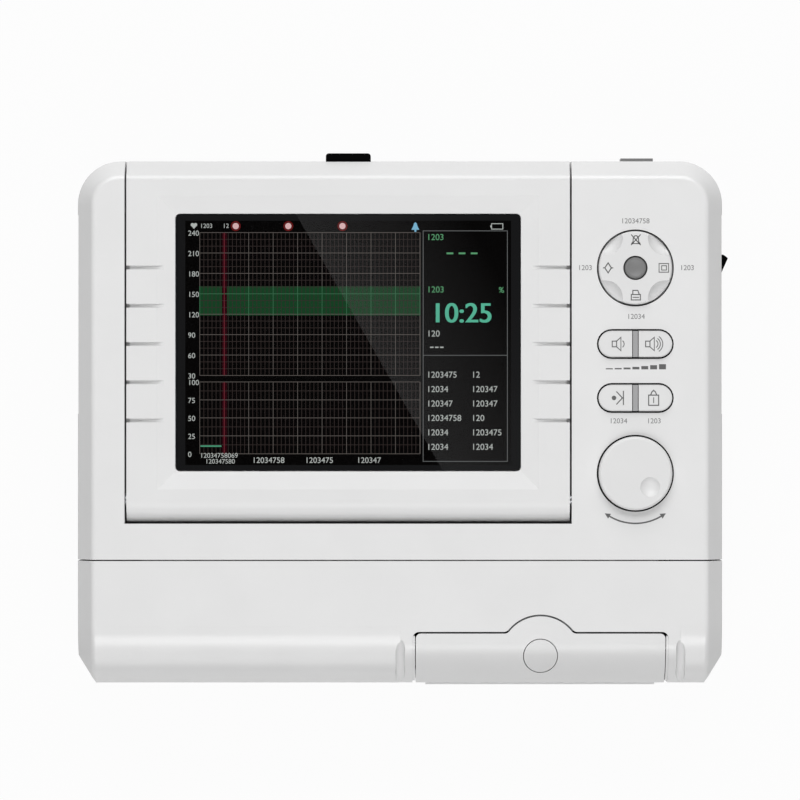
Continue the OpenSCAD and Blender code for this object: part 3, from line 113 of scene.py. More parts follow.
# The column of readings at the right of the display, and the line of marks along its top
PANEL_LEFT = 109.0
PANEL_RIGHT = 147.9
PANEL_TOP = 4.7
PANEL_BOTTOM = 111.2
PANEL_PARTING = 62.2
PANEL_LINE_WIDTH = 0.3
LABEL_LEFT = PANEL_LEFT + 1.6
VALUE_LEFT = 131.3
SETTINGS_TOP = 71.3
SETTINGS_STEP = 6.67
TOP_LINE = 2.5

# Heights of the numbers on the display, and how far a scale's number lies below its line
SCALE_LEFT = 0.3
SCALE_SINK = 0.4
SCALE_TEXT = 2.5
LABEL_TEXT = 2.9
FOOT_TEXT = 2.7
READING_TEXT = 9.3

# What stands where the object has a word, and a digit's width and height as shares
# of its height and of the font's size
DIGITS = "12034758069"
DIGIT_PITCH = 0.67
DIGIT_HEIGHT = 0.72

# Printed marks: their height over the surface they lie on, their strokes and their sizes
MARK_LIFT = 0.03
STROKE = 0.45
BOLD_STROKE = 0.5
FINE_STROKE = 0.4
LEGEND_TEXT = 2.4
BARS = 7
BAR_PITCH = 4.09
BAR_WIDTH = 3.2
BAR_LOWEST = 0.5
BAR_RISE = 1.9
BARS_LEFT = KEY_X - 13.6
BARS_FOOT = VOLUME_Y - 11.7
ARROW_RADIUS = 23.1
ARROW_SWEEP = 31
ARROW_WIDTH = 0.7
ARROW_HEAD = 2.6

# Painted shade: black rings laid on the cover round the keys, the pad and the knob, where their gaps are
# in shade
GAP_SHADE_LIFT = 0.02
GAP_SHADE_OUT = 0.42
GAP_SHADE_WIDTH = 0.75
PAD_GAP_SHADE_OUT = 0.675
PAD_GAP_SHADE_WIDTH = 0.35

# Ink under the glass, and how far its window reaches past the lit area
INK_LIFT = 0.02
INK_INSET = 0.3
WINDOW_SIDE = 0.9
WINDOW_FRONT = 0.3

# Studio, in metres: softboxes with their place, size and power
SOFTBOXES = [
    ("front_high_softbox", (0, -1.15, 2.072), (2.0, 0.65), 18.5),
    ("front_softbox", (0, -1.654, 1.678), (2.0, 0.65), 5),
    ("front_low_softbox", (0, -2.085, 1.052), (2.0, 0.81), 9.5),
    ("rear_softbox", (0, 1.478, 1.842), (2.0, 0.81), 27),
    ("rear_low_softbox", (0, 2.067, 1.09), (2.0, 0.98), 21),
]
LIGHT_TARGET = (0, 0, 0.08)
SKY_STRENGTH = 0.175
FLOOR_REACH = 4.0
FLOOR_SHARE = 0.96

# Cards over the object, the slanted edge of the reflector, and how its glow fades from that edge
CARD_HEIGHT = 2.2
REFLECTOR_HEIGHT = 2.19
CARD_SIDE = 0.75
CARD_FRONT = -0.5
CARD_REAR = 0.576
SLANT_FRONT = Vector((0.294, CARD_FRONT, 0))
SLANT_REAR = Vector((-0.322, CARD_REAR, 0))
GLOW_NEAR = 0.23
GLOW_FAR = 0.02
GLOW_REACH = 0.115

# Camera
CAMERA_PLACE = (0, 0.01025, 3.082)
CAMERA_LENS = 292.5
CAMERA_SENSOR = 36


# Small helpers for node trees


def shader_tree(name):
    """A new material with a Principled shader, and a function that adds nodes to it."""
    material = bpy.data.materials.new(name)
    material.use_nodes = True
    tree = material.node_tree
    shader = tree.nodes["Principled BSDF"]

    def add(kind, inputs=None, **settings):
        node = tree.nodes.new(kind)
        for key, value in settings.items():
            setattr(node, key, value)
        for key, value in (inputs or {}).items():
            if isinstance(value, bpy.types.NodeSocket):
                tree.links.new(value, node.inputs[key])
            else:
                node.inputs[key].default_value = value
        return node

    return material, tree, shader, add


def noise(add, scale, detail=2.0, stretch=(1.0, 1.0, 1.0)):
    """Noise in object space, so it stays put on the piece; stretch makes streaks."""
    spot = add("ShaderNodeTexCoord")
    mapping = add("ShaderNodeMapping", {"Vector": spot.outputs["Object"], "Scale": stretch})
    return add("ShaderNodeTexNoise", {"Vector": mapping.outputs[0], "Scale": scale, "Detail": detail})


def ramp(add, factor, dark, light, low=0.3, high=0.7):
    """A colour ramp between two colours."""
    node = add("ShaderNodeValToRGB", {"Fac": factor})
    first, last = node.color_ramp.elements
    first.position, last.position = low, high
    first.color = (*dark, 1.0)
    last.color = (*light, 1.0)
    return node


def spread(add, value, low, high):
    """Maps a 0 to 1 value onto a range."""
    return add("ShaderNodeMapRange", {"Value": value, "To Min": low, "To Max": high})


# Materials


def surface(name, colour, variation=0.02, roughness=(0.45, 0.55), mottle=40.0, grain=2600.0,
            depth=0.02, metallic=0.0, stretch=(1.0, 1.0, 1.0), specular=0.5):
    """A finish with slow colour variation, uneven gloss and a fine grain."""
    material, tree, shader, add = shader_tree(name)
    slow = noise(add, mottle, 3.0, stretch)
    darker = [c * (1 - variation) for c in colour]
    lighter = [min(1.0, c * (1 + variation)) for c in colour]
    tree.links.new(ramp(add, slow.outputs["Fac"], darker, lighter).outputs[0], shader.inputs["Base Color"])
    gloss = spread(add, slow.outputs["Fac"], *roughness)
    tree.links.new(gloss.outputs[0], shader.inputs["Roughness"])
    fine = noise(add, grain, 2.0, stretch)
    bump = add("ShaderNodeBump", {"Height": fine.outputs["Fac"], "Strength": 0.35, "Distance": depth * MM})
    tree.links.new(bump.outputs[0], shader.inputs["Normal"])
    shader.inputs["Metallic"].default_value = metallic
    shader.inputs["Specular IOR Level"].default_value = specular
    return material


def metal(name, colour, variation, roughness, stretch=(1.0, 1.0, 1.0)):
    """Bare metal with fine tool marks, which stretch draws out into streaks."""
    return surface(name, colour, variation, roughness, mottle=300.0, grain=1500.0, depth=0.01,
                   metallic=1.0, stretch=stretch)


def linear(level):
    """Linear brightness of a screen level from 0 to 255, by the sRGB curve."""
    part = level / 255
    return part / 12.92 if part < 0.04 else ((part + 0.055) / 1.055) ** 2.4


def unlit(shader):
    """Takes the shader's own colour and gloss away, so that only its glow is left."""
    shader.inputs["Base Color"].default_value = (0.0, 0.0, 0.0, 1.0)
    shader.inputs["Specular IOR Level"].default_value = 0.0


def lit(name, red, green, blue):
    """A lit part of the display picture in screen levels, with the slight unevenness of a backlight. The
    ink under the glass is drawn with it too, as a painted glow.
    """
    material, tree, shader, add = shader_tree(name)
    unlit(shader)
    shader.inputs["Roughness"].default_value = 1.0
    shader.inputs["Emission Strength"].default_value = 1.0
    slow = noise(add, 18.0)
    colour = [linear(level) for level in (red, green, blue)]
    dimmer = [c * 0.9 for c in colour]
    glow = ramp(add, slow.outputs["Fac"], dimmer, colour)
    tree.links.new(glow.outputs[0], shader.inputs["Emission Color"])
    return material


def clear_glass():
    """Cover glass with a faint unevenness of its polish."""
    material, tree, shader, add = shader_tree("cover_glass")
    shader.inputs["Base Color"].default_value = (0.9, 0.91, 0.92, 1.0)
    shader.inputs["Transmission Weight"].default_value = 1.0
    shader.inputs["IOR"].default_value = 1.5
    polish = noise(add, 60.0)
    tree.links.new(spread(add, polish.outputs["Fac"], 0.0, 0.008).outputs[0], shader.inputs["Roughness"])
    return material


def circuit_board():
    """Green solder mask with lighter copper tracks under it."""
    material, tree, shader, add = shader_tree("circuit_board")
    spot = add("ShaderNodeTexCoord")
    tracks = add("ShaderNodeTexBrick", {
        "Vector": spot.outputs["Object"],
        "Scale": 220.0,
        "Color1": (0.02, 0.16, 0.07, 1.0),
        "Color2": (0.015, 0.12, 0.05, 1.0),
        "Mortar": (0.05, 0.27, 0.12, 1.0),
        "Mortar Size": 0.06})
    tree.links.new(tracks.outputs["Color"], shader.inputs["Base Color"])
    bump = add("ShaderNodeBump", {"Height": tracks.outputs["Fac"], "Strength": 0.4, "Distance": 0.05 * MM})
    tree.links.new(bump.outputs[0], shader.inputs["Normal"])
    shader.inputs["Roughness"].default_value = 0.35
    return material


def plastics():
    """Finishes of the moulded pieces, by the name that the record gives their material."""
    return {
        "case_white": surface("case_white_plastic", (0.745, 0.745, 0.745), 0.012, (0.2, 0.26)),
        "screen_white": surface("panel_white_plastic", (0.725, 0.725, 0.725), 0.01, (0.34, 0.4),
                                depth=0.012),
        "key_white": surface("key_white_plastic", (0.7, 0.7, 0.7), 0.01, (0.4, 0.48), depth=0.01),
        "grey_plastic": surface("grey_plastic", (0.195, 0.195, 0.195), 0.03, (0.35, 0.45)),
        "divider_grey": surface("mid_grey_plastic", (0.335, 0.335, 0.34), 0.02, (0.45, 0.55)),
        "black_plastic": surface("black_plastic", (0.0015, 0.0015, 0.0017), 0.1, (0.5, 0.65),
                                 specular=0.02),
        "mat_rubber": surface("dark_silicone", (0.012, 0.012, 0.013), 0.08, (0.6, 0.75), grain=1800.0),
        "feet_rubber": surface("black_rubber", (0.014, 0.014, 0.015), 0.15, (0.7, 0.85), grain=1500.0,
                               depth=0.04),
        "gear_plastic": surface("gear_plastic", (0.72, 0.7, 0.62), 0.03, (0.35, 0.45)),
    }


def inner_finishes():
    """Finishes of the metal pieces, the glass, the display, the boards and the battery."""
    return {
        "steel": metal("steel", (0.52, 0.53, 0.55), 0.08, (0.25, 0.4), (1.0, 8.0, 8.0)),
        "brass": metal("brass", (0.6, 0.42, 0.16), 0.08, (0.25, 0.4)),
        "head_aluminium": metal("aluminium", (0.62, 0.63, 0.65), 0.05, (0.3, 0.42), (1.0, 8.0, 1.0)),
        "motor_black": surface("black_paint", (0.015, 0.015, 0.017), 0.15, (0.3, 0.45), grain=900.0),
        "screen_glass": clear_glass(),
        "display_black": lit("display_black", 4, 3, 3),
        "board_green": circuit_board(),
        "battery_blue": surface("battery_film", (0.015, 0.03, 0.08), 0.12, (0.25, 0.4), mottle=80.0,
                                grain=500.0),
    }


def dress_nodes():
    """Gives each CAD node its finish."""
    finishes = {**plastics(), **inner_finishes()}
    for part in frame["record"]["subparts"]:
        mesh = frame["nodes"][part["node"]].data
        mesh.materials.clear()
        mesh.materials.append(finishes[part["material_slot"]])


# Flat shapes for printed marks and the display picture, as lists of outlines in millimetres


def bar(x0, y0, x1, y1):
    """A filled rectangle between two corners."""
    return [[(x0, y0), (x1, y0), (x1, y1), (x0, y1)]]


def level_line(y, x0, x1, width):
    """A straight line from left to right, with its middle at y."""
    return bar(x0, y - width / 2, x1, y + width / 2)


def upright_line(x, y0, y1, width):
    """A straight line from front to rear, with its middle at x."""
    return bar(x - width / 2, y0, x + width / 2, y1)


def circle_points(x, y, r, steps=20):
    """Points round a circle."""
    return [(x + r * math.cos(2 * math.pi * i / steps), y + r * math.sin(2 * math.pi * i / steps))
            for i in range(steps)]


def disc(x, y, r, steps=24):
    """A filled circle."""
    return [circle_points(x, y, r, steps)]


def line(points, width, closed=False):
    """A line of even width with mitred corners."""
    pts = [Vector(p) for p in points]
    count = len(pts)
    left, right = [], []
    for i, here in enumerate(pts):
        before = pts[i - 1] if i > 0 or closed else None
        after = pts[(i + 1) % count] if i < count - 1 or closed else None
        ahead = (after - here).normalized() if after is not None else (here - before).normalized()
        behind = (here - before).normalized() if before is not None else ahead
        tangent = (ahead + behind).normalized()
        normal = Vector((-tangent.y, tangent.x))
        stretch = min(2.0, 1 / max(0.5, normal.dot(Vector((-ahead.y, ahead.x)))))
        left.append(here + normal * width / 2 * stretch)
        right.append(here - normal * width / 2 * stretch)
    pairs = range(count) if closed else range(count - 1)
    return [[tuple(right[i]), tuple(right[(i + 1) % count]), tuple(left[(i + 1) % count]), tuple(left[i])]
            for i in pairs]


def outline_box(x0, y0, x1, y1, width):
    """A line round a rectangle."""
    return line([(x0, y0), (x1, y0), (x1, y1), (x0, y1)], width, True)


def arc(x, y, r, start, end, width, steps=20):
    """Part of a ring, with its angles in degrees."""
    angles = [math.radians(start + (end - start) * i / steps) for i in range(steps + 1)]
    return line([(x + r * math.cos(a), y + r * math.sin(a)) for a in angles], width)


def pill_points(x, y, length, width, steps=12):
    """Outline of a key pair: two half rounds joined by straight sides."""
    r = width / 2
    points = []
    for side in (1, -1):
        for i in range(steps + 1):
            a = math.radians(-90 * side + 180 * i / steps)
            points.append((x + side * (length / 2 - r) + r * math.cos(a), y + r * math.sin(a)))
    return points


def numerals(text, x, y, height, align="LEFT"):
    """Plain numbers, as outlines, with their left end, middle or right end at x and their middle at y."""
    curve = bpy.data.curves.new("numerals", "FONT")
    curve.body = text
    curve.size = height / DIGIT_HEIGHT
    curve.align_x = align
    curve.align_y = "CENTER"
    writer = bpy.data.objects.new("numerals", curve)
    mesh = writer.to_mesh()
    shapes = [[(mesh.vertices[v].co.x + x, mesh.vertices[v].co.y + y) for v in face.vertices]
              for face in mesh.polygons]
    writer.to_mesh_clear()
    bpy.data.objects.remove(writer)
    bpy.data.curves.remove(curve)
    return shapes


def moved(shapes, x, y):
    """The same shapes, drawn round another place."""
    return [[(px + x, py + y) for px, py in outline] for outline in shapes]


def lay_flat(name, shapes, height, material, body):
    """Makes one flat piece out of outlines, facing up at the given height, that moves with a body."""
    bm = bmesh.new()
    for outline in shapes:
        face = bm.faces.new([bm.verts.new((x * MM, y * MM, height * MM)) for x, y in outline])
        face.normal_update()
        if face.normal.z < 0:
            face.normal_flip()
    mesh = bpy.data.meshes.new(name)
    bm.to_mesh(mesh)
    bm.free()
    mesh.materials.append(material)
    piece = bpy.data.objects.new(name, mesh)
    bpy.context.scene.collection.objects.link(piece)
    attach(piece, body)


# The display picture


def lay_on_display(name, shapes, material, layer):
    """Lays shapes, measured from the display's rear left corner, in a thin layer over its face."""
    turned = [[(DISPLAY_LEFT + u, DISPLAY_REAR - v) for u, v in outline] for outline in shapes]
    height = DISPLAY_FACE + LAYER_GAP + LAYER_STEP * layer
    lay_flat("display_" + name, turned, height, material, "screen")


def display_number(text, u, v, height, align="LEFT"):
    """Numbers that read upright once they are laid on the display."""
    shapes = numerals(text, u, -v, height, align)
    return [[(x, -y) for x, y in outline] for outline in shapes]


def number_row(u, v, width, height):
    """Plain digits where the object has a word, as many as fit its width."""
    count = max(1, round(width / (DIGIT_PITCH * height)))
    return display_number((DIGITS * 2)[:count], u, v, height)


def chart_bottom(chart):
    """Place of a chart's lowest line."""
    return chart.top + chart.rows * chart.step


def grid_lines(chart):
    """Main and fine lines of one chart, as two lists of outlines."""
    main, fine = [], []
    for i in range(COLUMNS * FINE_COLUMNS + 1):
        target = main if i % FINE_COLUMNS == 0 else fine
        u = GRID_LEFT + i * COLUMN_STEP / FINE_COLUMNS
        target += upright_line(u, chart.top, chart_bottom(chart), GRID_WIDTH)
    for i in range(chart.rows * chart.fine_rows + 1):
        target = main if i % chart.fine_rows == 0 else fine
        v = chart.top + i * chart.step / chart.fine_rows
        target += level_line(v, GRID_LEFT, GRID_RIGHT, GRID_WIDTH)
    main += upright_line(GRID_RIGHT, chart.top, chart_bottom(chart), GRID_WIDTH)
    return main, fine


def chart_scales():
    """Numbers beside the two charts, each a little below its line."""
    shapes = []
    for chart in CHARTS:
        for i in range(chart.rows + 1):
            number = str(chart.highest - chart.drop * i)
            v = chart.top + i * chart.step + SCALE_SINK
            shapes += display_number(number, SCALE_LEFT, v, SCALE_TEXT)
    return shapes


def band_lines():
    """The chart's main lines where they cross the green band."""
    row = UPPER_CHART.top + BAND_ROW * UPPER_CHART.step
    shapes = level_line(row, GRID_LEFT, GRID_RIGHT, BAND_LINE_WIDTH)
    for i in range(COLUMNS + 1):
        shapes += upright_line(GRID_LEFT + i * COLUMN_STEP, BAND_TOP, BAND_BOTTOM, BAND_LINE_WIDTH)
    return shapes


def build_charts():
    """The two charts with the green band, the cursor and a short trace."""
    band = bar(GRID_LEFT, BAND_TOP, GRID_RIGHT, BAND_BOTTOM)
    cursor, cursor_line, main, fine = [], [], [], []
    for chart in CHARTS:
        bottom = chart_bottom(chart)
        cursor += bar(CURSOR_LEFT, chart.top, CURSOR_RIGHT, bottom)
        cursor_line += upright_line(GRID_LEFT + COLUMN_STEP, chart.top, bottom, CURSOR_WIDTH)
        chart_main, chart_fine = grid_lines(chart)
        main += chart_main
        fine += chart_fine
    lay_on_display("normal_band", band, lit("display_band_green", 24, 68, 38), 0)
    lay_on_display("cursor_glow", cursor, lit("display_cursor_red", 44, 6, 14), 1)
    lay_on_display("fine_grid", fine, lit("display_fine_line", 56, 48, 46), 2)
    lay_on_display("main_grid", main, lit("display_main_line", 100, 94, 90), 3)
    lay_on_display("band_lines", band_lines(), lit("display_band_line", 62, 112, 80), 4)
    lay_on_display("cursor_line", cursor_line, lit("display_cursor_line", 112, 40, 50), 5)
    lay_on_display("trace", bar(6.1, 103.8, 15.8, 104.5), lit("display_trace_green", 78, 158, 122), 5)


def setting_rows():
    """The rows of settings at the right, from the widths of the label and the value in each."""
    shapes = []
    widths = [(13.7, 3.7), (10.1, 11.8), (12.0, 11.8), (15.3, 5.4), (8.9, 13.9), (10.3, 10.3)]
    for i, (label, value) in enumerate(widths):
        v = SETTINGS_TOP + i * SETTINGS_STEP
        shapes += number_row(LABEL_LEFT, v, label, LABEL_TEXT)
        shapes += number_row(VALUE_LEFT, v, value, LABEL_TEXT)
    return shapes


def battery_mark():
    """An empty battery, its pole at the left."""
    return outline_box(-2.6, -1.25, 2.6, 1.25, 0.35) + bar(-3.2, -0.45, -2.7, 0.45)


def status_marks():
    """Heart, numbers and battery along the top line, and the numbers along the bottom."""
    heart = disc(-0.7, -0.6, 0.8) + disc(0.7, -0.6, 0.8) + [[(-1.4, -0.3), (1.4, -0.3), (0, 1.3)]]
    shapes = moved(heart, 3.1, TOP_LINE)
    shapes += number_row(5.9, TOP_LINE, 5.3, 2.1) + number_row(16.4, TOP_LINE, 2.6, 2.1)
    shapes += number_row(5.9, 108.6, 16.7, 2.3) + number_row(8.3, 111.3, 13.2, 2.2)
    for u, width in [(30.0, 14.9), (54.4, 13.4), (78.3, 10.3)]:
        shapes += number_row(u, 110.8, width, FOOT_TEXT)
    return shapes + moved(battery_mark(), 143.2, 2.65)


def big_reading():
    """A clock reading, drawn three times side by side to make it bold."""
    shapes = []
    for shift in (-0.25, 0, 0.25):
        shapes += display_number("10:25", 126.8 + shift, 43.1, READING_TEXT, "CENTER")
    return shapes


def dashes(u, v, length, pitch, thick):
    """Three short dashes where no reading is shown."""
    shapes = []
    for i in range(3):
        left = u + i * pitch
        shapes += level_line(v, left, left + length, thick)
    return shapes


def percent_mark(u, v):
    """Two small rings and a slash between them."""
    shapes = line([(-0.85, 1.2), (0.85, -1.3)], 0.3)
    for side in (-1, 1):
        shapes += line(circle_points(side * 0.55, side * 0.7, 0.5, 8), 0.3, True)
    return moved(shapes, u, v)


def build_readings():
    """The frame of the readings, the numbers in it and those along the top and bottom."""
    white = lit("display_white", 190, 194, 190)
    grey = lit("display_frame_line", 110, 112, 112)
    edges = outline_box(PANEL_LEFT, PANEL_TOP, PANEL_RIGHT, PANEL_BOTTOM, PANEL_LINE_WIDTH)
    edges += level_line(PANEL_PARTING, PANEL_LEFT, PANEL_RIGHT, PANEL_LINE_WIDTH)
    lay_on_display("reading_frame", edges, grey, 2)
    lay_on_display("scales", chart_scales(), white, 3)
    lay_on_display("settings", setting_rows(), white, 3)
    lay_on_display("status", status_marks(), white, 3)
    lay_on_display("big_reading", big_reading(), lit("display_reading_green", 92, 190, 158), 3)
    greens = number_row(LABEL_LEFT, 7.75, 6.9, LABEL_TEXT)
    greens += number_row(LABEL_LEFT + 0.1, 31.95, 7.0, LABEL_TEXT)
    greens += dashes(119.8, 15.1, 3.1, 5.6, 0.8) + percent_mark(145.15, 32.0)
    lay_on_display("labels_green", greens, lit("display_label_green", 96, 164, 116), 3)
    whites = number_row(LABEL_LEFT + 0.1, 52.3, 6.8, LABEL_TEXT) + dashes(112.2, 58.5, 1.6, 2.3, 0.6)
    lay_on_display("label_white", whites, white, 3)


def build_alarms():
    """Three alarm lamps and a bell along the top line."""
    rings, faces = [], []
    for u in (22.4, 46.7, 71.7):
        rings += line(circle_points(u, TOP_LINE, 2.0), 0.55, True)
        faces += disc(u, TOP_LINE, 1.45)
    lay_on_display("alarm_rings", rings, lit("display_alarm_red", 112, 26, 26), 4)
    lay_on_display("alarm_faces", faces, lit("display_alarm_pink", 235, 190, 190), 3)
    bell = [[(-1.8, 1.7), (1.8, 1.7), (1.0, 0.1), (0.6, -1.3), (0, -1.8), (-0.6, -1.3), (-1.0, 0.1)]]
    bell += disc(0, 2.2, 0.5)
    lay_on_display("bell", moved(bell, 105.4, TOP_LINE), lit("display_bell_blue", 130, 190, 220), 3)


# Marks printed on the keys and the cover, each drawn round its own middle


def crossed_bell():
    """A bell with a cross over it."""
    left = [(-1.9, -1.7), (-1.3, -0.8), (-1.2, 0.8), (-0.5, 1.9)]
    right = [(-x, y) for x, y in reversed(left)]
    shapes = line(left + right, STROKE, True)
    shapes += line([(-2.2, 2.5), (2.2, -2.4)], STROKE) + line([(2.2, 2.5), (-2.2, -2.4)], STROKE)
    return shapes


def diamond_mark():
    """A diamond with a short line at each side."""
    shapes = line([(-1.5, 0), (0, 2.3), (1.5, 0), (0, -2.3)], BOLD_STROKE, True)
    return shapes + bar(-2.4, -0.22, -1.5, 0.22) + bar(1.5, -0.22, 2.4, 0.22)


def menu_mark():
    """A box in a box."""
    return outline_box(-2.2, -2.0, 2.2, 2.0, FINE_STROKE) + outline_box(-1.0, -1.0, 1.2, 1.0, FINE_STROKE)


def printer_mark():
    """A printer with a sheet in it."""
    shapes = outline_box(-2.1, -2.2, 2.1, 0.3, STROKE)
    shapes += line([(-1.4, 0.3), (-1.4, 2.2), (0.9, 2.2), (1.6, 0.3)], STROKE)
    return shapes + level_line(-1.0, -1.5, 1.5, FINE_STROKE)


def speaker_mark(waves):
    """A loudspeaker with sound waves, its box at the left."""
    shapes = line([(-2.1, 1.3), (-2.1, -1.3), (-0.1, -1.3), (-0.1, 1.3)], STROKE, True)
    shapes += line([(-0.1, 1.3), (1.9, 3.1), (1.9, -3.1), (-0.1, -1.3)], STROKE)
    for r in waves:
        shapes += arc(1.6, 0, r, -55, 55, FINE_STROKE, 12)
    return shapes


def event_mark():
    """A dot, and an arrow head that points at an upright line."""
    shapes = disc(-2.3, 0, 1.05) + line([(-1.2, 3.0), (1.6, 0), (-1.2, -3.0)], BOLD_STROKE)
    return shapes + bar(1.8, -3.3, 2.3, 3.3)


def lock_mark():
    """A padlock with its keyhole."""
    shapes = outline_box(-2.3, -3.4, 2.3, 1.3, BOLD_STROKE)
    shapes += line([(-1.4, 1.3), (-0.8, 2.8), (0, 3.5), (0.8, 2.8), (1.4, 1.3)], BOLD_STROKE)
    return shapes + bar(-0.2, -2.4, 0.2, 0.3)


def volume_bars():
    """A row of bars that grow to the right."""
    shapes = []
    for i in range(BARS):
        x = BARS_LEFT + i * BAR_PITCH
        height = BAR_LOWEST + BAR_RISE * (i / (BARS - 1)) ** 1.6
        shapes += bar(x, BARS_FOOT, x + BAR_WIDTH, BARS_FOOT + height)
    return shapes


def knob_arrow():
    """A curved arrow in front of the knob, with a head at each end."""
    shapes = arc(KEY_X, KNOB_Y, ARROW_RADIUS, -90 - ARROW_SWEEP, -90 + ARROW_SWEEP, ARROW_WIDTH, 40)
    for side in (-1, 1):
        angle = math.radians(-90 + side * ARROW_SWEEP)
        out = Vector((math.cos(angle), math.sin(angle)))
        along = Vector((-out.y, out.x)) * side
        end = Vector((KEY_X, KNOB_Y)) + out * ARROW_RADIUS
        corners = [end + along * ARROW_HEAD, end + out * ARROW_HEAD / 2, end - out * ARROW_HEAD / 2]
        shapes += [[tuple(corner) for corner in corners]]
    return shapes


def key_legends():
    """Plain digits beside the keys, as long as the words on the object."""
    shapes = []
    for x, y, count in [(0, PAD_Y + 21.6, 8), (-23.2, PAD_Y, 4), (23.9, PAD_Y, 4),
                        (0.3, VOLUME_Y + 12.6, 5), (-7.8, EVENT_Y - 10.7, 5), (8.6, EVENT_Y - 10.7, 4)]:
        shapes += numerals(DIGITS[:count], KEY_X + x, y, LEGEND_TEXT, "CENTER")
    return shapes


def build_marks():
    """Icons on the keys, and the bars, numbers and arrow printed on the cover."""
    ink = surface("dark_grey_ink", (0.1, 0.1, 0.1), 0.1, (0.5, 0.6))
    pale_ink = surface("grey_ink", (0.17, 0.17, 0.17), 0.08, (0.5, 0.6))
    pad_icons = moved(crossed_bell(), 0.2, 12.9) + moved(diamond_mark(), -12.6, 0)
    pad_icons += moved(menu_mark(), 13.1, 0) + moved(printer_mark(), 0.2, -12.6)
    for name, shapes, x, y, body in [
            ("pad_icons", pad_icons, 0, PAD_Y, "nav_pad"),
            ("volume_down_icon", speaker_mark([1.8]), -8.6, VOLUME_Y, "volume_down"),
            ("volume_up_icon", speaker_mark([2.0, 3.1, 4.2]), 6.8, VOLUME_Y, "volume_up"),
            ("event_icon", event_mark(), -7.6, EVENT_Y, "event"),
            ("lock_icon", lock_mark(), 8.4, EVENT_Y, "lock")]:
        lay_flat(name, moved(shapes, KEY_X + x, y), KEY_TOP + MARK_LIFT, ink, body)
    lay_flat("volume_bars", volume_bars(), CASE_TOP + MARK_LIFT, ink, "case")
    lay_flat("knob_arrow", knob_arrow(), CASE_TOP + MARK_LIFT, ink, "case")
    lay_flat("key_legends", key_legends(), CASE_TOP + MARK_LIFT, pale_ink, "case")


# Painted shade round the keys, and the ink under the glass with its painted glow


def build_painted_gap_shade():
    """Painted shade: flat black rings laid on the cover over the gaps round the keys, the pad and the
    knob, where the gaps are in shade.
    """
    # This near-black is painted shade standing in for the shade in the gaps
    gap_shade_black = surface("painted_gap_shade", (0.004, 0.004, 0.0045), 0.2, (0.7, 0.85), grain=1500.0, specular=0.1)
    pad_r = (PAD_HIGH.x - PAD_LOW.x) / 2 - PAD_FLANGE
    knob_r = (KNOB_HIGH.x - KNOB_LOW.x) / 2
    length = KEYS_HIGH.x - KEYS_LOW.x - 2 * KEY_FLANGE + 2 * GAP_SHADE_OUT
    width = KEYS_HIGH.y - KEYS_LOW.y - 2 * KEY_FLANGE + 2 * GAP_SHADE_OUT
    shapes = line(circle_points(KEY_X, PAD_Y, pad_r + PAD_GAP_SHADE_OUT, 72), PAD_GAP_SHADE_WIDTH, True)
    shapes += line(circle_points(KEY_X, KNOB_Y, knob_r + GAP_SHADE_OUT, 72), GAP_SHADE_WIDTH, True)
    for y in (VOLUME_Y, EVENT_Y):
        shapes += line(pill_points(KEY_X, y, length, width), GAP_SHADE_WIDTH, True)
    lay_flat("painted_key_gap_shade", shapes, CASE_TOP + GAP_SHADE_LIFT, gap_shade_black, "case")


def build_ink_border_painted_glow():
    """Black ink printed under the glass, round the window over the lit area, drawn as a dark grey glow:
    painted light in place of the light it gets through the glass.
    """
    # The ink's glow is painted light, standing in for the light that reaches it through the glass
    ink = lit("black_glass_ink_painted_glow", 25, 25, 26)
    left, right = DISPLAY_LEFT - WINDOW_SIDE, DISPLAY_RIGHT + WINDOW_SIDE
    front, rear = DISPLAY_FRONT - WINDOW_FRONT, DISPLAY_REAR
    edge_left, edge_right = GLASS_LOW.x + INK_INSET, GLASS_HIGH.x - INK_INSET
    edge_front, edge_rear = GLASS_LOW.y + INK_INSET, GLASS_HIGH.y - INK_INSET
    shapes = bar(edge_left, edge_front, left, edge_rear) + bar(right, edge_front, edge_right, edge_rear)
    shapes += bar(left, edge_front, right, front) + bar(left, rear, right, edge_rear)
    lay_flat("glass_ink_border", shapes, GLASS_LOW.z + INK_LIFT, ink, "screen")


# Studio


def area_light(name, spot, size, power):
    """A softbox that faces the object."""
    light = bpy.data.lights.new(name, "AREA")
    light.shape = "RECTANGLE"
    light.size, light.size_y = size
    light.energy = power
    lamp = bpy.data.objects.new(name, light)
    lamp.location = spot
    lamp.rotation_euler = (Vector(LIGHT_TARGET) - Vector(spot)).to_track_quat("-Z", "Y").to_euler()
    bpy.context.scene.collection.objects.link(lamp)


def stage_plane(name, corners, material):
    """One flat face of the studio, which isn't part of the object."""
    mesh = bpy.data.meshes.new(name)
    mesh.from_pydata(corners, [], [range(len(corners))])
    mesh.materials.append(material)
    plane = bpy.data.objects.new(name, mesh)
    bpy.context.scene.collection.objects.link(plane)
    return plane


def white_floor():
    """Pale floor that looks nearly white to the camera and in reflections, but keeps a faint shadow."""
    material, tree, shader, add = shader_tree("floor_white")
    slow = noise(add, 3.0)
    tree.links.new(ramp(add, slow.outputs["Fac"], (0.45, 0.45, 0.45), (0.46, 0.46, 0.46)).outputs[0],
                   shader.inputs["Base Color"])
    shader.inputs["Roughness"].default_value = 0.9
    shader.inputs["Specular IOR Level"].default_value = 0.1
    path = add("ShaderNodeLightPath")
    seen = path.outputs["Is Camera Ray"]
    for ray in ("Is Glossy Ray", "Is Transmission Ray"):
        seen = add("ShaderNodeMath", {0: seen, 1: path.outputs[ray]}, operation="MAXIMUM").outputs[0]
    share = add("ShaderNodeMath", {0: seen, 1: FLOOR_SHARE}, operation="MULTIPLY")
    glow = add("ShaderNodeEmission", {"Color": (1.0, 1.0, 1.0, 1.0), "Strength": 1.0})
    mix = add("ShaderNodeMixShader", {0: share.outputs[0], 1: shader.outputs[0], 2: glow.outputs[0]})
    tree.links.new(mix.outputs[0], tree.nodes["Material Output"].inputs["Surface"])
    return material


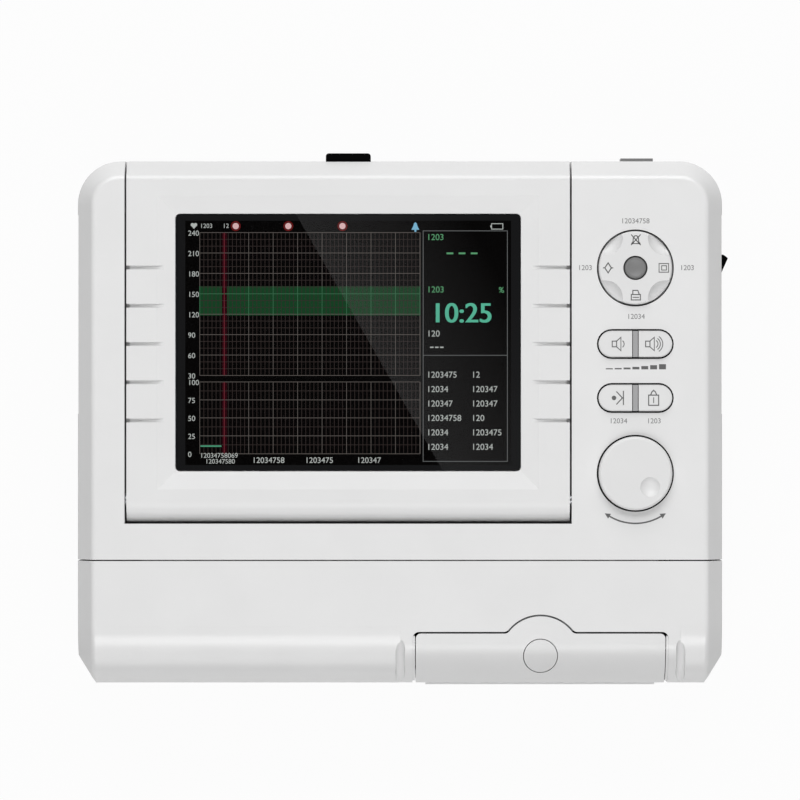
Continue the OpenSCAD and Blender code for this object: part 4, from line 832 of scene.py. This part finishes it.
def reflector_glow():
    """Soft light that fades with the distance from the slanted edge of the reflector card."""
    material, tree, shader, add = shader_tree("reflector_glow")
    along = (SLANT_REAR - SLANT_FRONT).normalized()
    across = Vector((along.y, -along.x, 0))
    edge = across.dot(SLANT_FRONT)
    spot = add("ShaderNodeTexCoord")
    distance = add("ShaderNodeVectorMath", {0: spot.outputs["Object"], 1: across}, operation="DOT_PRODUCT")
    fade = add("ShaderNodeMapRange", {
        "Value": distance.outputs["Value"],
        "From Min": edge,
        "From Max": edge + GLOW_REACH,
        "To Min": GLOW_NEAR,
        "To Max": GLOW_FAR})
    unlit(shader)
    shader.inputs["Emission Color"].default_value = (1.0, 1.0, 1.0, 1.0)
    tree.links.new(fade.outputs[0], shader.inputs["Emission Strength"])
    return material


def hang_card(name, corners, height, material):
    """A card over the object that is seen only in reflections and through the glass."""
    card = stage_plane(name, [(x, y, height) for x, y in corners], material)
    card.visible_camera = False
    card.visible_diffuse = False
    card.visible_shadow = False


def build_cards():
    """A black card that the glass mirrors, and the slanted reflector that covers a part of it."""
    black = surface("card_black", (0.004, 0.004, 0.004), 0.05, (0.9, 1.0))
    whole = [(-CARD_SIDE, CARD_FRONT), (CARD_SIDE, CARD_FRONT),
             (CARD_SIDE, CARD_REAR), (-CARD_SIDE, CARD_REAR)]
    hang_card("card", whole, CARD_HEIGHT, black)
    slanted = [SLANT_FRONT.to_2d(), (CARD_SIDE, CARD_FRONT), (CARD_SIDE, CARD_REAR), SLANT_REAR.to_2d()]
    hang_card("reflector", slanted, REFLECTOR_HEIGHT, reflector_glow())


def build_camera():
    """A long lens high over the object, as in the photograph."""
    camera = bpy.data.cameras.new("camera")
    camera.lens = CAMERA_LENS
    camera.sensor_width = CAMERA_SENSOR
    view = bpy.data.objects.new("camera", camera)
    view.location = CAMERA_PLACE
    bpy.context.scene.collection.objects.link(view)
    bpy.context.scene.camera = view


def build_studio():
    """White surroundings, floor, cards, softboxes and camera."""
    scene = bpy.context.scene
    scene.view_settings.view_transform = "Standard"
    world = bpy.data.worlds.new("studio")
    scene.world = world
    world.use_nodes = True
    sky = world.node_tree.nodes["Background"]
    sky.inputs["Color"].default_value = (1.0, 1.0, 1.0, 1.0)
    sky.inputs["Strength"].default_value = SKY_STRENGTH
    corners = [(-1, -1), (1, -1), (1, 1), (-1, 1)]
    stage_plane("floor", [(x * FLOOR_REACH, y * FLOOR_REACH, 0) for x, y in corners], white_floor())
    build_cards()
    for name, spot, size, power in SOFTBOXES:
        area_light(name, spot, size, power)
    build_camera()


dress_nodes()
build_ink_border_painted_glow()
build_charts()
build_readings()
build_alarms()
build_marks()
build_painted_gap_shade()
build_studio()
